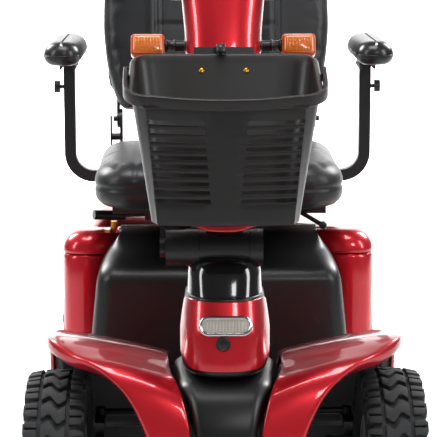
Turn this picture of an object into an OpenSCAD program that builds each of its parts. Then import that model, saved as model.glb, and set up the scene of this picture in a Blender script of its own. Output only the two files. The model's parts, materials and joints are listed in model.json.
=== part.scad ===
// Four-wheeled mobility scooter with a steerable tiller, a lift-off basket and a swivel seat.
// X is across the scooter (the rider's left is +X), the front faces -Y, Z is up and the ground is z = 0.

/* [Wheels] */
// Outer diameter of the tyres
tyre_d = 330; // [270:1:400]
// Width of the tyres
tyre_w = 104; // [86:1:126]
// Diameter of the rim's bead seat
rim_d = 158; // [130:1:190]
// Diameter of the anti-tip wheels
anti_tip_d = 60; // [50:1:72]

/* [Chassis] */
// Overall length, from the nose to the rear bumper
body_length = 1310; // [1090:5:1575]
// Distance between the front and rear axles
wheelbase = 925; // [770:5:1110]
// Distance between the middles of the left and right tyres
track_w = 568; // [530:2:682]
// Height of the floor deck's top
deck_z = 165; // [160:1:180]
// Thickness of the floor deck
deck_t = 26; // [20:1:28]
// Diameter of the main frame tubes
frame_tube_d = 38; // [32:1:42]
// Thickness of the moulded body panels
panel_t = 4; // [3:0.5:5]

/* [Front body] */
// Gap above the tyre to the top of the front fender
fender_gap = 67; // [56:1:80]
// Distance of the fender's inner edge from the middle
fender_in_x = 97; // [94:1:104]
// Distance of the nose's front from the front axle
nose_overhang = 175; // [172:1:210]
// Height of the lowest edge of the nose
nose_low_z = 150; // [140:1:170]

/* [Steering] */
// Largest steering angle to each side
steer_max = 30; // [20:1:30]
// Diameter of the steering shaft
shaft_d = 30; // [25:1:36]
// Length of the steering arms
steer_arm = 70; // [60:1:80]
// Diameter of the kingpins
kingpin_d = 18; // [14:1:20]
// Radial running clearance of shafts and pins
run_clear = 0.05; // [0.02:0.01:0.1]

/* [Console] */
// Half of the console's widest width
console_half_w = 74; // [62:1:78]
// Height of the console's lower edge
console_low_z = 360; // [354:1:366]
// Height of the seam between the console cover and the cap
console_seam_z = 476; // [450:1:490]
// Width of the headlight
lamp_w = 88; // [74:1:104]
// Height of the headlight
lamp_h = 30; // [25:1:36]

/* [Tiller] */
// Height of the tilt pivot
pivot_z = 549; // [540:1:560]
// Radius of the tilt pivot's barrel
pivot_r = 31; // [28:1:34]
// Angle of the tiller from upright
tiller_rake = 18; // [10:1:22]
// Width of the tiller cover
tiller_w = 128; // [107:1:140]
// Depth of the tiller cover
tiller_depth = 88; // [74:1:96]
// Length of the tiller from the pivot to the control head
tiller_len = 430; // [380:1:480]
// Width across the handlebar
handlebar_w = 540; // [450:5:640]
// Diameter of the handlebar tube
handlebar_d = 24; // [20:1:28]

/* [Basket] */
// Half of the basket's width at its rim
basket_top_half_w = 150; // [125:1:165]
// Half of the basket's width at its bottom
basket_low_half_w = 119; // [100:1:125]
// Height of the basket's bottom
basket_low_z = 612; // [605:1:640]
// Height of the rim at the front
basket_front_z = 812; // [760:1:830]
// Height of the rim at the back
basket_back_z = 866; // [840:1:880]
// Depth of the basket's rim
basket_depth = 212; // [176:1:250]
// Depth of the basket's bottom
basket_low_depth = 104; // [90:1:124]
// Wall of the basket
basket_wall = 4; // [3:0.5:5]
// Number of rows of slots
slot_rows = 10; // [8:1:11]

/* [Rear body] */
// Half of the rear body's width
rear_half_w = 329; // [300:1:395]
// Height of the rear body's lower edge
rear_low_z = 190; // [185:1:210]
// Height of the seam between rear body and lid
lid_seam_z = 389; // [370:1:400]
// Height of the lid's top
lid_top_z = 436; // [425:1:445]
// Half of the battery cover's width at its crease
cover_half_w = 246; // [242:1:290]

/* [Seat] */
// Width of the seat cushion
seat_w = 516; // [430:2:560]
// Height of the seat cushion's top
seat_top_z = 604; // [598:1:660]
// Depth of the seat cushion
seat_depth = 440; // [400:1:460]
// Width of the back cushion
back_w = 514; // [428:2:520]
// Height of the back cushion, along its rake
back_h = 480; // [400:5:560]
// Angle of the backrest from upright
back_rake = 10; // [6:1:14]
// Distance between the middles of the arm posts
arm_span = 628; // [600:1:740]
// Side of the arm posts' square tube
arm_tube = 24; // [20:1:26]
// Length of the arm pads
arm_pad_l = 280; // [235:1:300]
// Width of the arm pads
arm_pad_w = 75; // [63:1:80]
// Height of the arm pads' underside
arm_pad_z = 798; // [760:1:840]
// Thickness of the arm pads
arm_pad_t = 49; // [41:1:58]

/* [Hidden] */
$fn = 48;
gap = 0.5;                // clearance between pieces that move past each other
seam = 1;                 // gap between neighbouring fixed panels
wheel_r = tyre_d / 2;
front_y = -body_length / 2 + nose_overhang;
rear_y = front_y + wheelbase;
nose_y = -body_length / 2;
tail_y = body_length / 2;
wheel_x = track_w / 2;
tyre_in_x = wheel_x - tyre_w / 2;
tyre_out_x = wheel_x + tyre_w / 2;
axle_r = 10;              // front stub axle
rear_axle_r = 12.5;       // rear half shafts
steer_y = front_y - 20;
kingpin_x = tyre_in_x - 17;
liner_x = kingpin_x - wheel_r * sin(steer_max) + 5;
fender_out_x = tyre_out_x - 32;
fender_top_z = tyre_d + fender_gap;
arch_back_y = front_y + wheel_r + 55;
deck_back_y = rear_y - wheel_r - 52;
rail_z = deck_z - deck_t - frame_tube_d / 2 - 2;
rail_x = 90;
arm_z = wheel_r + 58;     // level of the steering arms
shaft_r = shaft_d / 2;
seat_y = rear_y - 145;    // middle of the swivel
post_r = 28;
body_front_y = rear_y - 213;
cover_front_y = rear_y - 340;
swivel_z = lid_top_z + 22;
pan_z = swivel_z + 42;
pan_h = 56;
pan_half_w = 215;
back_pivot_y = seat_y + 220;
back_pivot_z = seat_top_z + 38;
post_x = arm_span / 2;
post_y = seat_y + 45;
post_z = pan_z + 41;
bend_r = 50;
arm_hinge_z = arm_pad_z - 16;
tongue_l = 54;            // length of the battery cover's tongue over the seat tower

function lerp(a, b, t) = a + (b - a) * t;
// Outline of a rectangle with rounded corners
function round_rect(x0, x1, y0, y1, r, n = 4) = [
  for (c = [[x1 - r, y1 - r, 0], [x0 + r, y1 - r, 90], [x0 + r, y0 + r, 180], [x1 - r, y0 + r, 270]])
    for (i = [0 : n]) [c[0] + r * cos(c[2] + 90 * i / n), c[1] + r * sin(c[2] + 90 * i / n)]];
// The same outline lifted to a height
function ring(x0, x1, y0, y1, r, z, n = 4) = [for (p = round_rect(x0, x1, y0, y1, r, n)) [p[0], p[1], z]];

// Solid through rings with the same number of points, closed by flat ends
module loft(rings) {
  n = len(rings[0]);
  m = len(rings);
  polyhedron(
    points = [for (r = rings) each r],
    faces = concat(
      [[for (i = [0 : n - 1]) i]],
      [for (k = [0 : m - 2]) for (i = [0 : n - 1]) each [
        [k * n + i, (k + 1) * n + i, (k + 1) * n + (i + 1) % n],
        [k * n + i, (k + 1) * n + (i + 1) % n, k * n + (i + 1) % n]]],
      [[for (i = [n - 1 : -1 : 0]) (m - 1) * n + i]]));
}
// Skin between two grids of points; every row of the outer grid has its partner in the inner one
module skin(outer, inner) {
  m = len(outer);
  n = len(outer[0]);
  s = m * n;
  quads = concat(
    [for (k = [0 : m - 2]) for (i = [0 : n - 2]) [k * n + i, (k + 1) * n + i, (k + 1) * n + i + 1, k * n + i + 1]],
    [for (k = [0 : m - 2]) for (i = [0 : n - 2])
      [s + k * n + i, s + k * n + i + 1, s + (k + 1) * n + i + 1, s + (k + 1) * n + i]],
    [for (i = [0 : n - 2]) [i, i + 1, s + i + 1, s + i]],
    [for (i = [0 : n - 2]) [(m - 1) * n + i, s + (m - 1) * n + i, s + (m - 1) * n + i + 1, (m - 1) * n + i + 1]],
    [for (k = [0 : m - 2]) [k * n, s + k * n, s + (k + 1) * n, (k + 1) * n]],
    [for (k = [0 : m - 2]) [k * n + n - 1, (k + 1) * n + n - 1, s + (k + 1) * n + n - 1, s + k * n + n - 1]]);
  polyhedron(points = [for (r = concat(outer, inner)) each r],
    faces = [for (q = quads) each [[q[0], q[1], q[2]], [q[0], q[2], q[3]]]]);
}
// Box given by its two corners
module span(x, y, z) {
  translate([x[0], y[0], z[0]]) cube([x[1] - x[0], y[1] - y[0], z[1] - z[0]]);
}
// Round bar along X, Y or Z between two places
module bar_x(x, y, z, r) { translate([x[0], y, z]) rotate([0, 90, 0]) cylinder(r = r, h = x[1] - x[0]); }
module bar_y(x, y, z, r) { translate([x, y[0], z]) rotate([-90, 0, 0]) cylinder(r = r, h = y[1] - y[0]); }
module bar_z(x, y, z, r) { translate([x, y, z[0]]) cylinder(r = r, h = z[1] - z[0]); }
// Round rod from one point to another
module rod(a, b, r) {
  d = b - a;
  translate(a) rotate([0, acos(d[2] / norm(d)), atan2(d[1], d[0])]) cylinder(r = r, h = norm(d));
}
module both_sides() { children(); mirror([1, 0, 0]) children(); }
// The tiller's own frame: z along the tiller, -y its front
module on_tiller() { translate([0, steer_y, pivot_z]) rotate([-tiller_rake, 0, 0]) children(); }
// The backrest's own frame: z along its rake, -y its front
module on_back() { translate([0, back_pivot_y, back_pivot_z]) rotate([-back_rake, 0, 0]) children(); }

// ---------- chassis ----------
beam_h = 40;
kingpin_ear = 14;
sleeve_h = 74;
head_z = [arm_z + 16, console_low_z - 14];
head_r = shaft_r + 10;

module chassis_frame() color("#26272a") difference() {
  union() {
    both_sides() {
      bar_y(rail_x, [front_y - 60, tail_y - 60], rail_z, frame_tube_d / 2);
      // front axle beam and its forked ends for the kingpins
      span([rail_x - 30, rail_x + 30], [front_y - 20, front_y + 20], [rail_z, wheel_r - beam_h / 2 + 1]);
      span([0, kingpin_x - 26], [front_y - 20, front_y + 20], [wheel_r - beam_h / 2, wheel_r + beam_h / 2]);
      span([kingpin_x - 40, kingpin_x - 26], [front_y - 20, front_y + 20],
        [wheel_r - sleeve_h / 2 - kingpin_ear, wheel_r + sleeve_h / 2 + kingpin_ear - 6]);
      for (z = [wheel_r - sleeve_h / 2 - kingpin_ear, wheel_r + sleeve_h / 2 + gap]) {
        span([kingpin_x - 27, kingpin_x], [front_y - 14, front_y + 14], [z, z + kingpin_ear - 6]);
        bar_z(kingpin_x, front_y, [z, z + kingpin_ear - 6], 14);
      }
      bar_z(kingpin_x, front_y, [wheel_r - sleeve_h / 2 - kingpin_ear, wheel_r + sleeve_h / 2 + 8], kingpin_d / 2);
      // outriggers under the deck
      for (y = [arch_back_y + 20, deck_back_y - 20])
        span([rail_x, 250], [y - 12, y + 12], [rail_z - 12, deck_z - deck_t - 1]);
      // rear wheel suspension saddle, seat tower leg and anti-tip arm
      span([rail_x - 16, rail_x + 16], [rear_y - 22, rear_y + 22], [rail_z, wheel_r - 25.5]);
      span([rail_x - 12, rail_x + 12], [seat_y - 12, seat_y + 12], [rail_z, 395 - 15]);
      span([0, rail_x], [seat_y - 12, seat_y + 12], [360, 380]);
      span([rail_x - 5, rail_x + 5], [tail_y - 80, tail_y - 30], [anti_tip_d / 2 - 2, rail_z + 12]);
      bar_x([rail_x, rail_x + 34], tail_y - 48, anti_tip_d / 2 + 10, 5);
    }
    // battery tray
    span([-rail_x, rail_x], [cover_front_y + 20, seat_y - 40], [rail_z - 4, rail_z + 4]);
    for (y = [front_y - 40, arch_back_y + 20, seat_y, tail_y - 70])
      bar_x([-rail_x, rail_x], y, rail_z, frame_tube_d / 2 - 3);
    // head tube and its gusset
    bar_z(0, steer_y, head_z, head_r);
    span([-22, 22], [steer_y - head_r - 14, steer_y - head_r + 6], [rail_z, head_z[1] - 10]);
    // seat post tube
    bar_z(0, seat_y, [rail_z, lid_top_z - 12], post_r + 8);
    // rear accessory plate
    span([-55, 55], [tail_y - 70, tail_y - 62], [rail_z - 18, rail_z + 62]);
  }
  bar_z(0, steer_y, [head_z[0] - 1, head_z[1] + 1], shaft_r + run_clear);
  bar_z(0, seat_y, [rail_z + 25, lid_top_z], post_r + run_clear);
  // room for the pitman arm's hub
  bar_z(0, steer_y, [arm_z - 5, arm_z + 13], shaft_r + 9);
  for (x = [-35, 35], z = [rail_z + 6, rail_z + 46])
    bar_y(x, [tail_y - 90, tail_y - 40], z, 4.25);
}

module floor_deck() color("#202022") {
  difference() {
    span([-262, 262], [arch_back_y + 4, deck_back_y + 36], [deck_z - deck_t, deck_z]);
    span([-256, 256], [arch_back_y + 10, deck_back_y + 30], [deck_z - deck_t - 1, deck_z - panel_t]);
    // cut-outs over the seat tower
    span([-200, 200], [deck_back_y - 10 + seam, deck_back_y + 100], [deck_z - deck_t - 2, deck_z + 2]);
  }
  both_sides() span([250, 262], [arch_back_y + 4, cover_front_y - 8], [deck_z - 1, deck_z + 12]);
}

module floor_mat() color("#101011") difference() {
  span([-240, 240], [arch_back_y + 14, cover_front_y - 20], [deck_z, deck_z + 5]);
  for (i = [-11 : 11])
    span([i * 20 - 4, i * 20 + 4], [arch_back_y + 24, cover_front_y - 30], [deck_z + 3, deck_z + 6]);
}

// Rows of the nose from its low front edge over its top to the deck: [y, z, half width]
nose_rows = [[nose_y, nose_low_z, 50], [nose_y, 235, 52], [nose_y + 4, 277, 55], [nose_y + 24, 314, 64],
  [nose_y + 48, 334, 74], [nose_y + 74, 342, 84], [steer_y - 30, 345, 90], [steer_y + 60, 345, 92],
  [steer_y + 130, 322, 92], [steer_y + 175, 262, 92], [arch_back_y - 18, deck_z + 10, 92]];
function nose_grid(t) = [for (k = [0 : len(nose_rows) - 1]) let (
    r = nose_rows[k],
    a = nose_rows[max(k - 1, 0)], b = nose_rows[min(k + 1, len(nose_rows) - 1)],
    d = [b[0] - a[0], b[1] - a[1]], l = norm(d), m = [d[1] / l, -d[0] / l])
  [for (x = [-1, -0.6, 0, 0.6, 1]) [x * (r[2] - t / 2), r[0] + m[0] * t, r[1] + m[1] * t]]];

module front_nose() color("#1b1b1d") {
  difference() {
    skin(nose_grid(0), nose_grid(panel_t));
    bar_z(0, steer_y, [300, 380], head_r + 4);
  }
  // liners between the wheels
  both_sides() translate([liner_x - panel_t, 0, 0]) rotate([90, 0, 90]) linear_extrude(panel_t) polygon([
    [nose_y + 16, nose_low_z], [nose_y + 17, 250], [nose_y + 40, 308], [nose_y + 70, 345],
    [front_y - 70, fender_top_z - 26], [front_y + 40, fender_top_z - 24], [front_y + 100, fender_top_z - 44],
    [front_y + 152, fender_top_z - 92], [arch_back_y - 22, deck_z + 45], [arch_back_y - 18, deck_z + 5],
    [arch_back_y - 40, deck_z + 5], [arch_back_y - 60, deck_z + 30], [front_y + 140, fender_top_z - 130],
    [front_y + 90, fender_top_z - 80], [front_y + 30, fender_top_z - 60], [front_y - 60, fender_top_z - 62],
    [nose_y + 90, 305], [nose_y + 62, 250], [nose_y + 50, nose_low_z]]);
}

// Rows of the front fender: [inner x, inner y, inner z], [lip x, lip y, lip z]
top_z = fender_top_z;
fender_rows = [
  [[54, nose_y, nose_low_z], [112, nose_y, nose_low_z]],
  [[56, nose_y, 235], [116, nose_y + 2, 235]],
  [[60, nose_y + 4, 278], [126, nose_y + 6, 276]],
  [[70, nose_y + 24, 322], [157, nose_y + 24, 333]],
  [[80, nose_y + 54, top_z - 40], [206, nose_y + 54, top_z - 17]],
  [[92, nose_y + 92, top_z - 8], [257, nose_y + 90, top_z + 2]],
  [[fender_in_x, nose_y + 145, top_z - 2], [fender_out_x - 12, nose_y + 135, top_z - 6]],
  [[fender_in_x, front_y + 40, top_z], [fender_out_x, front_y + 40, top_z - 6]],
  [[fender_in_x, front_y + 105, top_z - 18], [fender_out_x, front_y + 110, top_z - 24]],
  [[fender_in_x, front_y + 160, top_z - 66], [fender_out_x, front_y + 165, top_z - 72]],
  [[fender_in_x, arch_back_y - 12, deck_z + 75], [fender_out_x, arch_back_y - 10, deck_z + 70]],
  [[fender_in_x, arch_back_y, deck_z + 22], [fender_out_x, arch_back_y, deck_z + 20]]];
// Crown of each row above the straight line from inner edge to lip
fender_crown = [0, 0, 2, 5, 9, 9, 7, 8, 8, 6, 2, 0];
function fender_grid(t) = [for (k = [0 : len(fender_rows) - 1]) let (
    i = fender_rows[k][0], o = fender_rows[k][1],
    a = fender_rows[max(k - 1, 0)][0], b = fender_rows[min(k + 1, len(fender_rows) - 1)][0],
    d = [b[1] - a[1], b[2] - a[2]], m = [d[1], -d[0]] / norm(d))
  [for (u = [0 : 0.2 : 1])
    let (c = fender_crown[k] * sin(180 * u))
    [lerp(i[0] + t / 2, o[0] - t / 2, u), lerp(i[1], o[1], u) + m[0] * t, lerp(i[2], o[2], u) + m[1] * t + c]]];
module front_fender() skin(fender_grid(0), fender_grid(panel_t));
module left_front_fender() color("#b40d1e") front_fender();
module right_front_fender() color("#b40d1e") mirror([1, 0, 0]) front_fender();

// ---------- rear body ----------
arch_r = wheel_r + 16;
module wheel_arches(r) bar_x([-rear_half_w - 9, rear_half_w + 9], rear_y, wheel_r, r);

// Levels of the red rear body: [half width, front y, back y, z]
rear_levels = [[rear_half_w, body_front_y, tail_y - 22, rear_low_z], [rear_half_w, body_front_y, tail_y - 22, lid_seam_z]];
lid_levels = [[rear_half_w, body_front_y, tail_y - 22, lid_seam_z + 1.5],
  [rear_half_w - 1, body_front_y + 1, tail_y - 24, lid_top_z - 22],
  [rear_half_w - 10, body_front_y + 6, tail_y - 32, lid_top_z - 8],
  [rear_half_w - 30, body_front_y + 24, tail_y - 48, lid_top_z]];
function level_rings(levels, t, drop = 0) = [for (l = levels)
  ring(-l[0] + t, l[0] - t, l[1] + t, l[2] - t, 40 - t, l[3] - drop)];

module rear_body() color("#b40d1e") difference() {
  loft(level_rings(rear_levels, 0));
  loft([for (r = level_rings(rear_levels, panel_t)) [for (p = r) [p[0], p[1], p[2] == rear_low_z ? p[2] - 1 : p[2] + 1]]]);
  wheel_arches(arch_r);
  // opening for the battery cover and the seat tower
  span([-cover_half_w - 6, cover_half_w + 6], [body_front_y - 1, body_front_y + 45], [rear_low_z - 1, lid_seam_z + 1]);
}

module rear_lid() color("#b40d1e") difference() {
  loft(level_rings(lid_levels, 0));
  loft(level_rings(lid_levels, panel_t, panel_t));
  bar_z(0, seat_y, [lid_seam_z, lid_top_z + 1], post_r + 14);
  // notch for the battery cover's tongue and slot for the freewheel lever
  span([-206, 206], [body_front_y - 1, body_front_y + tongue_l + 2], [lid_seam_z, lid_top_z + 1]);
  span([-228, -212], [body_front_y + 22, body_front_y + 62], [lid_top_z - 20, lid_top_z + 1]);
}

// Levels of the black battery cover: [half width, front y, z]
cover_levels = [[cover_half_w + 16, cover_front_y, deck_z + 25], [cover_half_w + 12, cover_front_y + 4, 262],
  [cover_half_w + 3, cover_front_y + 10, 350], [cover_half_w - 2, cover_front_y + 20, 372],
  [cover_half_w - 12, cover_front_y + 45, 391], [cover_half_w - 26, cover_front_y + 88, 410],
  [cover_half_w - 34, cover_front_y + 116, 420]];
function cover_ring(w, f, b, z) = let (c = min(24, (b - f) * 0.6))
  [[-w, b, z], [-w, f + c, z], [-w + c, f, z], [w - c, f, z], [w, f + c, z], [w, b, z]];
module battery_cover() color("#1a1a1c") difference() {
  union() {
  difference() {
    loft([for (l = cover_levels) cover_ring(l[0], l[1], body_front_y - seam, l[2])]);
    loft([for (i = [0 : len(cover_levels) - 1]) let (l = cover_levels[i])
      cover_ring(l[0] - panel_t, l[1] + panel_t, body_front_y + 1, l[2] - (i == 0 ? 2 : panel_t))]);
  }
  // tongue that runs back over the seat tower
  translate([0, body_front_y - seam, 0]) rotate([90, 0, 90]) linear_extrude(2 * 205, center = true)
    polygon([[-14, 416.8], [-14, 419.2], [tongue_l, lid_top_z], [tongue_l, lid_top_z - panel_t]]);
  }
  bar_z(0, seat_y, [lid_seam_z, lid_top_z + 5], post_r + 14);
}

module rear_bumper() color("#1a1a1c") difference() {
  translate([0, 0, rear_low_z + 20]) linear_extrude(55)
    polygon(round_rect(-310, 310, tail_y - 60, tail_y, 18));
  translate([0, 0, rear_low_z + 19]) linear_extrude(57)
    polygon(round_rect(-330, 330, tail_y - 80, tail_y - 21, 2));
}

module tail_lights() color("#c01818") both_sides() {
  translate([225, tail_y - 21.5, 320]) rotate([-90, 0, 0]) linear_extrude(12)
    polygon(round_rect(-42, 42, -20, 20, 10));
}

module batteries() color("#3a3a3e") both_sides() {
  difference() {
    span([rail_x / 2 - 37, rail_x / 2 + 185], [cover_front_y + 24, seat_y - post_r - 12], [deck_z + 5, 348]);
    span([rail_x / 2 - 38, rail_x / 2 + 186], [cover_front_y + 40, cover_front_y + 60], [338, 349]);
  }
}

module transaxle() color("#55585c") {
  bar_x([-tyre_in_x + 14, tyre_in_x - 14], rear_y, wheel_r, 25);
  bar_x([-wheel_x - 28, wheel_x + 28], rear_y, wheel_r, rear_axle_r);
  span([-58, 58], [rear_y - 48, rear_y + 50], [rail_z + 6, wheel_r + 55]);
  bar_y(0, [rear_y + 50, tail_y - 84], wheel_r + 15, 48);
}

// ---------- steering ----------
// Plan outline of the console: a blunt front whose corners are cut back so that it can turn between the fenders
function console_ring(w, f, b, z, t = 0) = let (c = [
    [w - 8, b], [w, b - 10], [w, -0.29 * f], [w - 3, -0.55 * f], [w - 10, -0.7 * f], [w - 26, -0.87 * f], [w - 46, -0.97 * f]])
  [for (p = concat([for (q = c) [-q[0], q[1]]], [[0, -f]], [for (i = [6 : -1 : 0]) c[i]]))
    let (l = norm(p)) [p[0] * (l - t) / l, steer_y + p[1] * (l - t) / l, z]];
// Levels of the black shroud, then of its cap: [half width, front, back, z]
shroud_levels = [[console_half_w - 4, 104, 52, console_low_z], [console_half_w - 1, 106, 52, console_low_z + 12],
  [console_half_w - 1, 100, 50, console_low_z + 60], [console_half_w - 7, 80, 48, console_seam_z - 8],
  [console_half_w - 11, 68, 46, console_seam_z + 8], [console_half_w - 11, 56, 44, console_seam_z + 36],
  [console_half_w - 13, 48, 42, pivot_z - 28], [console_half_w - 17, 40, 40, pivot_z - pivot_r - 1]];
module console_loft(t, a, b) loft([for (i = [a : b]) let (l = shroud_levels[i])
  console_ring(l[0], l[1], l[2], l[3] + (i == a && t > 0 ? -1 : i == b && t > 0 ? -t : 0), t)]);

yoke_web_x = 47;
module steering_column() color("#2a2b2e") difference() {
  union() {
    bar_z(0, steer_y, [arm_z - 3, pivot_z - pivot_r - 12], shaft_r);
    // pitman arm
    bar_z(0, steer_y, [arm_z, arm_z + 10], shaft_r + 6);
    span([-11, 11], [steer_y, steer_y + steer_arm], [arm_z, arm_z + 10]);
    bar_z(0, steer_y + steer_arm, [arm_z, arm_z + 10], 11);
    // yoke
    span([-yoke_web_x - 7, yoke_web_x + 7], [steer_y - 20, steer_y + 20], [pivot_z - pivot_r - 18, pivot_z - pivot_r - 7]);
    both_sides() {
      span([yoke_web_x - 5, yoke_web_x + 7], [steer_y - 20, steer_y + 20], [pivot_z - pivot_r - 18, pivot_z]);
      bar_x([42, 64], steer_y, pivot_z, pivot_r);
    }
    bar_x([-98, -64], steer_y, pivot_z, pivot_r - 1);
    bar_x([-97, 64], steer_y, pivot_z, 8);
  }
  bar_z(0, steer_y + steer_arm, [arm_z - 1, arm_z + 11], 5);
}

module console_shroud() color("#161617") difference() {
  console_loft(0, 0, 7);
  console_loft(panel_t, 0, 6);
  // ways for the shaft and the yoke's two webs
  bar_z(0, steer_y, [console_low_z - 5, console_low_z + 20], shaft_r + 4);
  both_sides() span([yoke_web_x - 9, yoke_web_x + 9], [steer_y - 22, steer_y + 22], [pivot_z - 50, pivot_z]);
  bar_x([-80, 80], steer_y, pivot_z, pivot_r + 1.5);
  lamp_hole(1);
}
module console_cover() color("#b40d1e") difference() {
  intersection() {
    translate([0, steer_y - 34, 0]) rotate([90, 0, 0]) linear_extrude(120) polygon(
      round_rect(-console_half_w + 6, console_half_w - 6, console_low_z + 9, console_seam_z, 24));
    console_loft(-3.5, 0, 5);
  }
  console_loft(-0.3, 0, 5);
  lamp_hole(1);
}

lamp_z = console_seam_z - 40;
lamp_tilt = 21;
module at_lamp() translate([0, steer_y - 92, lamp_z]) rotate([90 - lamp_tilt, 0, 0]) children();
module stadium(w, h, g) polygon(round_rect(-w / 2 - g, w / 2 + g, -h / 2 - g, h / 2 + g, h / 2 + g - 0.01, 8));
module lamp_hole(g) at_lamp() translate([0, 0, -40]) linear_extrude(80) stadium(lamp_w, lamp_h, g);
module headlight_bezel() color("#c9ccd0") at_lamp() difference() {
  translate([0, 0, -10]) linear_extrude(18) stadium(lamp_w, lamp_h, 0);
  translate([0, 0, -6]) linear_extrude(20) stadium(lamp_w, lamp_h, -4);
}
module headlight_lens() color("#e8e6dc") at_lamp()
  translate([0, 0, -6]) linear_extrude(12) stadium(lamp_w, lamp_h, -4);

module knuckle() difference() {
  union() {
    bar_z(kingpin_x, front_y, [wheel_r - sleeve_h / 2 - 5, wheel_r + sleeve_h / 2 - gap], 14);
    bar_x([kingpin_x + 4, wheel_x + 30], front_y, wheel_r, axle_r);
    bar_x([kingpin_x + 4, tyre_in_x + 8], front_y, wheel_r, axle_r + 3);
    // arm to the tie rod, lifted over the fork
    span([kingpin_x - 7, kingpin_x + 7], [front_y + 22, front_y + 31], [wheel_r - 10, arm_z + 10]);
    span([kingpin_x - 7, kingpin_x + 7], [front_y + 8, front_y + 24], [wheel_r - 9, wheel_r + 9]);
    span([kingpin_x - 8, kingpin_x + 8], [front_y + 21, front_y + steer_arm], [arm_z, arm_z + 10]);
    bar_z(kingpin_x, front_y + steer_arm, [arm_z, arm_z + 10], 11);
  }
  bar_z(kingpin_x, front_y, [0, arm_z], kingpin_d / 2 + run_clear);
  bar_z(kingpin_x, front_y + steer_arm, [arm_z - 1, arm_z + 11], 5);
}
module left_knuckle() color("#3a3c40") knuckle();
module right_knuckle() color("#3a3c40") mirror([1, 0, 0]) knuckle();

rod_z = arm_z + 16;
module tie_rod() color("#8d9196") union() {
  bar_x([-kingpin_x, kingpin_x], front_y + steer_arm, rod_z, 6);
  for (x = [-kingpin_x, kingpin_x]) bar_z(x, front_y + steer_arm, [arm_z + 10.5, rod_z + 8], 9);
  bar_z(kingpin_x, front_y + steer_arm, [arm_z - 4, rod_z], 5 - run_clear);
  bar_z(-kingpin_x, front_y + steer_arm, [arm_z - 4, rod_z], 4.4);
  // tab to the pitman arm
  span([-9, 9], [steer_y + steer_arm - 4, front_y + steer_arm], [arm_z + 10.5, rod_z + 4]);
  bar_z(0, steer_y + steer_arm, [arm_z - 4, rod_z + 4], 4.4);
}

// ---------- wheels ----------
rim_r = rim_d / 2;
rim_half_w = tyre_w / 2 - 14;
module tyre(x, y) color("#202122") translate([x, y, wheel_r]) rotate([0, 90, 0]) rotate_extrude($fn = 96)
  polygon([[rim_r, -rim_half_w + 4], [rim_r + 12, -rim_half_w], [rim_r + 40, -tyre_w / 2],
    [wheel_r - 22, -tyre_w / 2 + 1], [wheel_r - 7, -tyre_w / 2 + 8], [wheel_r, -tyre_w / 2 + 20],
    [wheel_r, tyre_w / 2 - 20], [wheel_r - 7, tyre_w / 2 - 8], [wheel_r - 22, tyre_w / 2 - 1],
    [rim_r + 40, tyre_w / 2], [rim_r + 12, rim_half_w], [rim_r, rim_half_w - 4]]);
// Rim with its outer side towards +X
module rim(x, y, axle) color("#9a9da2") translate([x, y, wheel_r]) rotate([0, 90, 0]) difference() {
  union() {
    rotate_extrude($fn = 96) polygon([[rim_r, -rim_half_w + 4], [rim_r + 8, -rim_half_w - 3],
      [rim_r + 4, -rim_half_w - 5], [rim_r - 5, -rim_half_w + 2], [rim_r - 7, 8], [30, 14], [30, -24], [axle + 12, -24],
      [axle + 12, -tyre_w / 2 + 14], [axle + run_clear, -tyre_w / 2 + 14], [axle + run_clear, 26], [30, 26], [rim_r - 7, 22],
      [rim_r - 5, rim_half_w - 2], [rim_r + 4, rim_half_w + 5], [rim_r + 8, rim_half_w + 3], [rim_r, rim_half_w - 4]]);
  }
  for (a = [0 : 72 : 359]) rotate([0, 0, a]) translate([rim_r * 0.66, 0, 0]) cylinder(r = rim_r * 0.15, h = 40);
}
module front_left_tyre() tyre(wheel_x, front_y);
module front_left_rim() rim(wheel_x, front_y, axle_r);
module front_right_tyre() mirror([1, 0, 0]) tyre(wheel_x, front_y);
module front_right_rim() mirror([1, 0, 0]) rim(wheel_x, front_y, axle_r);
module rear_left_tyre() tyre(wheel_x, rear_y);
module rear_left_rim() rim(wheel_x, rear_y, rear_axle_r);
module rear_right_tyre() mirror([1, 0, 0]) tyre(wheel_x, rear_y);
module rear_right_rim() mirror([1, 0, 0]) rim(wheel_x, rear_y, rear_axle_r);
module anti_tip_wheel() color("#2b2b2d") difference() {
  bar_x([rail_x + 8, rail_x + 30], tail_y - 48, anti_tip_d / 2 + 10, anti_tip_d / 2);
  bar_x([rail_x, rail_x + 40], tail_y - 48, anti_tip_d / 2 + 10, 5 + run_clear);
}
module left_anti_tip_wheel() anti_tip_wheel();
module right_anti_tip_wheel() mirror([1, 0, 0]) anti_tip_wheel();

// ---------- tiller ----------
front_s = tiller_depth / 2;       // the cover's front, ahead of the tiller's axis
bracket_s = [basket_back_z - pivot_z - 75, basket_back_z - pivot_z + 12];
basket_back_s = front_s + 14;     // the basket's back, ahead of the tiller's axis
stalk_s = 345;                    // place of the indicators along the tiller

module tiller_post() color("#202123") on_tiller() difference() {
  union() {
    bar_x([-41.5, 41.5], 0, 0, pivot_r - 1);
    bar_z(0, 0, [0, tiller_len - 6], 19);
    span([-30, 30], [-19, 19], [10, 34]);
    // plate that carries the basket
    span([-50, 50], [-basket_back_s + gap, -front_s - 0.6], bracket_s);
    for (x = [-30, 30]) span([x - 8, x + 8], [-front_s - 2, -10], [bracket_s[0] + 30, bracket_s[0] + 46]);
    span([-34, 34], [-18, -8], [bracket_s[0] + 31, bracket_s[0] + 45]);
  }
  bar_x([-42, 42], 0, 0, 8 + run_clear);
}

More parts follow.
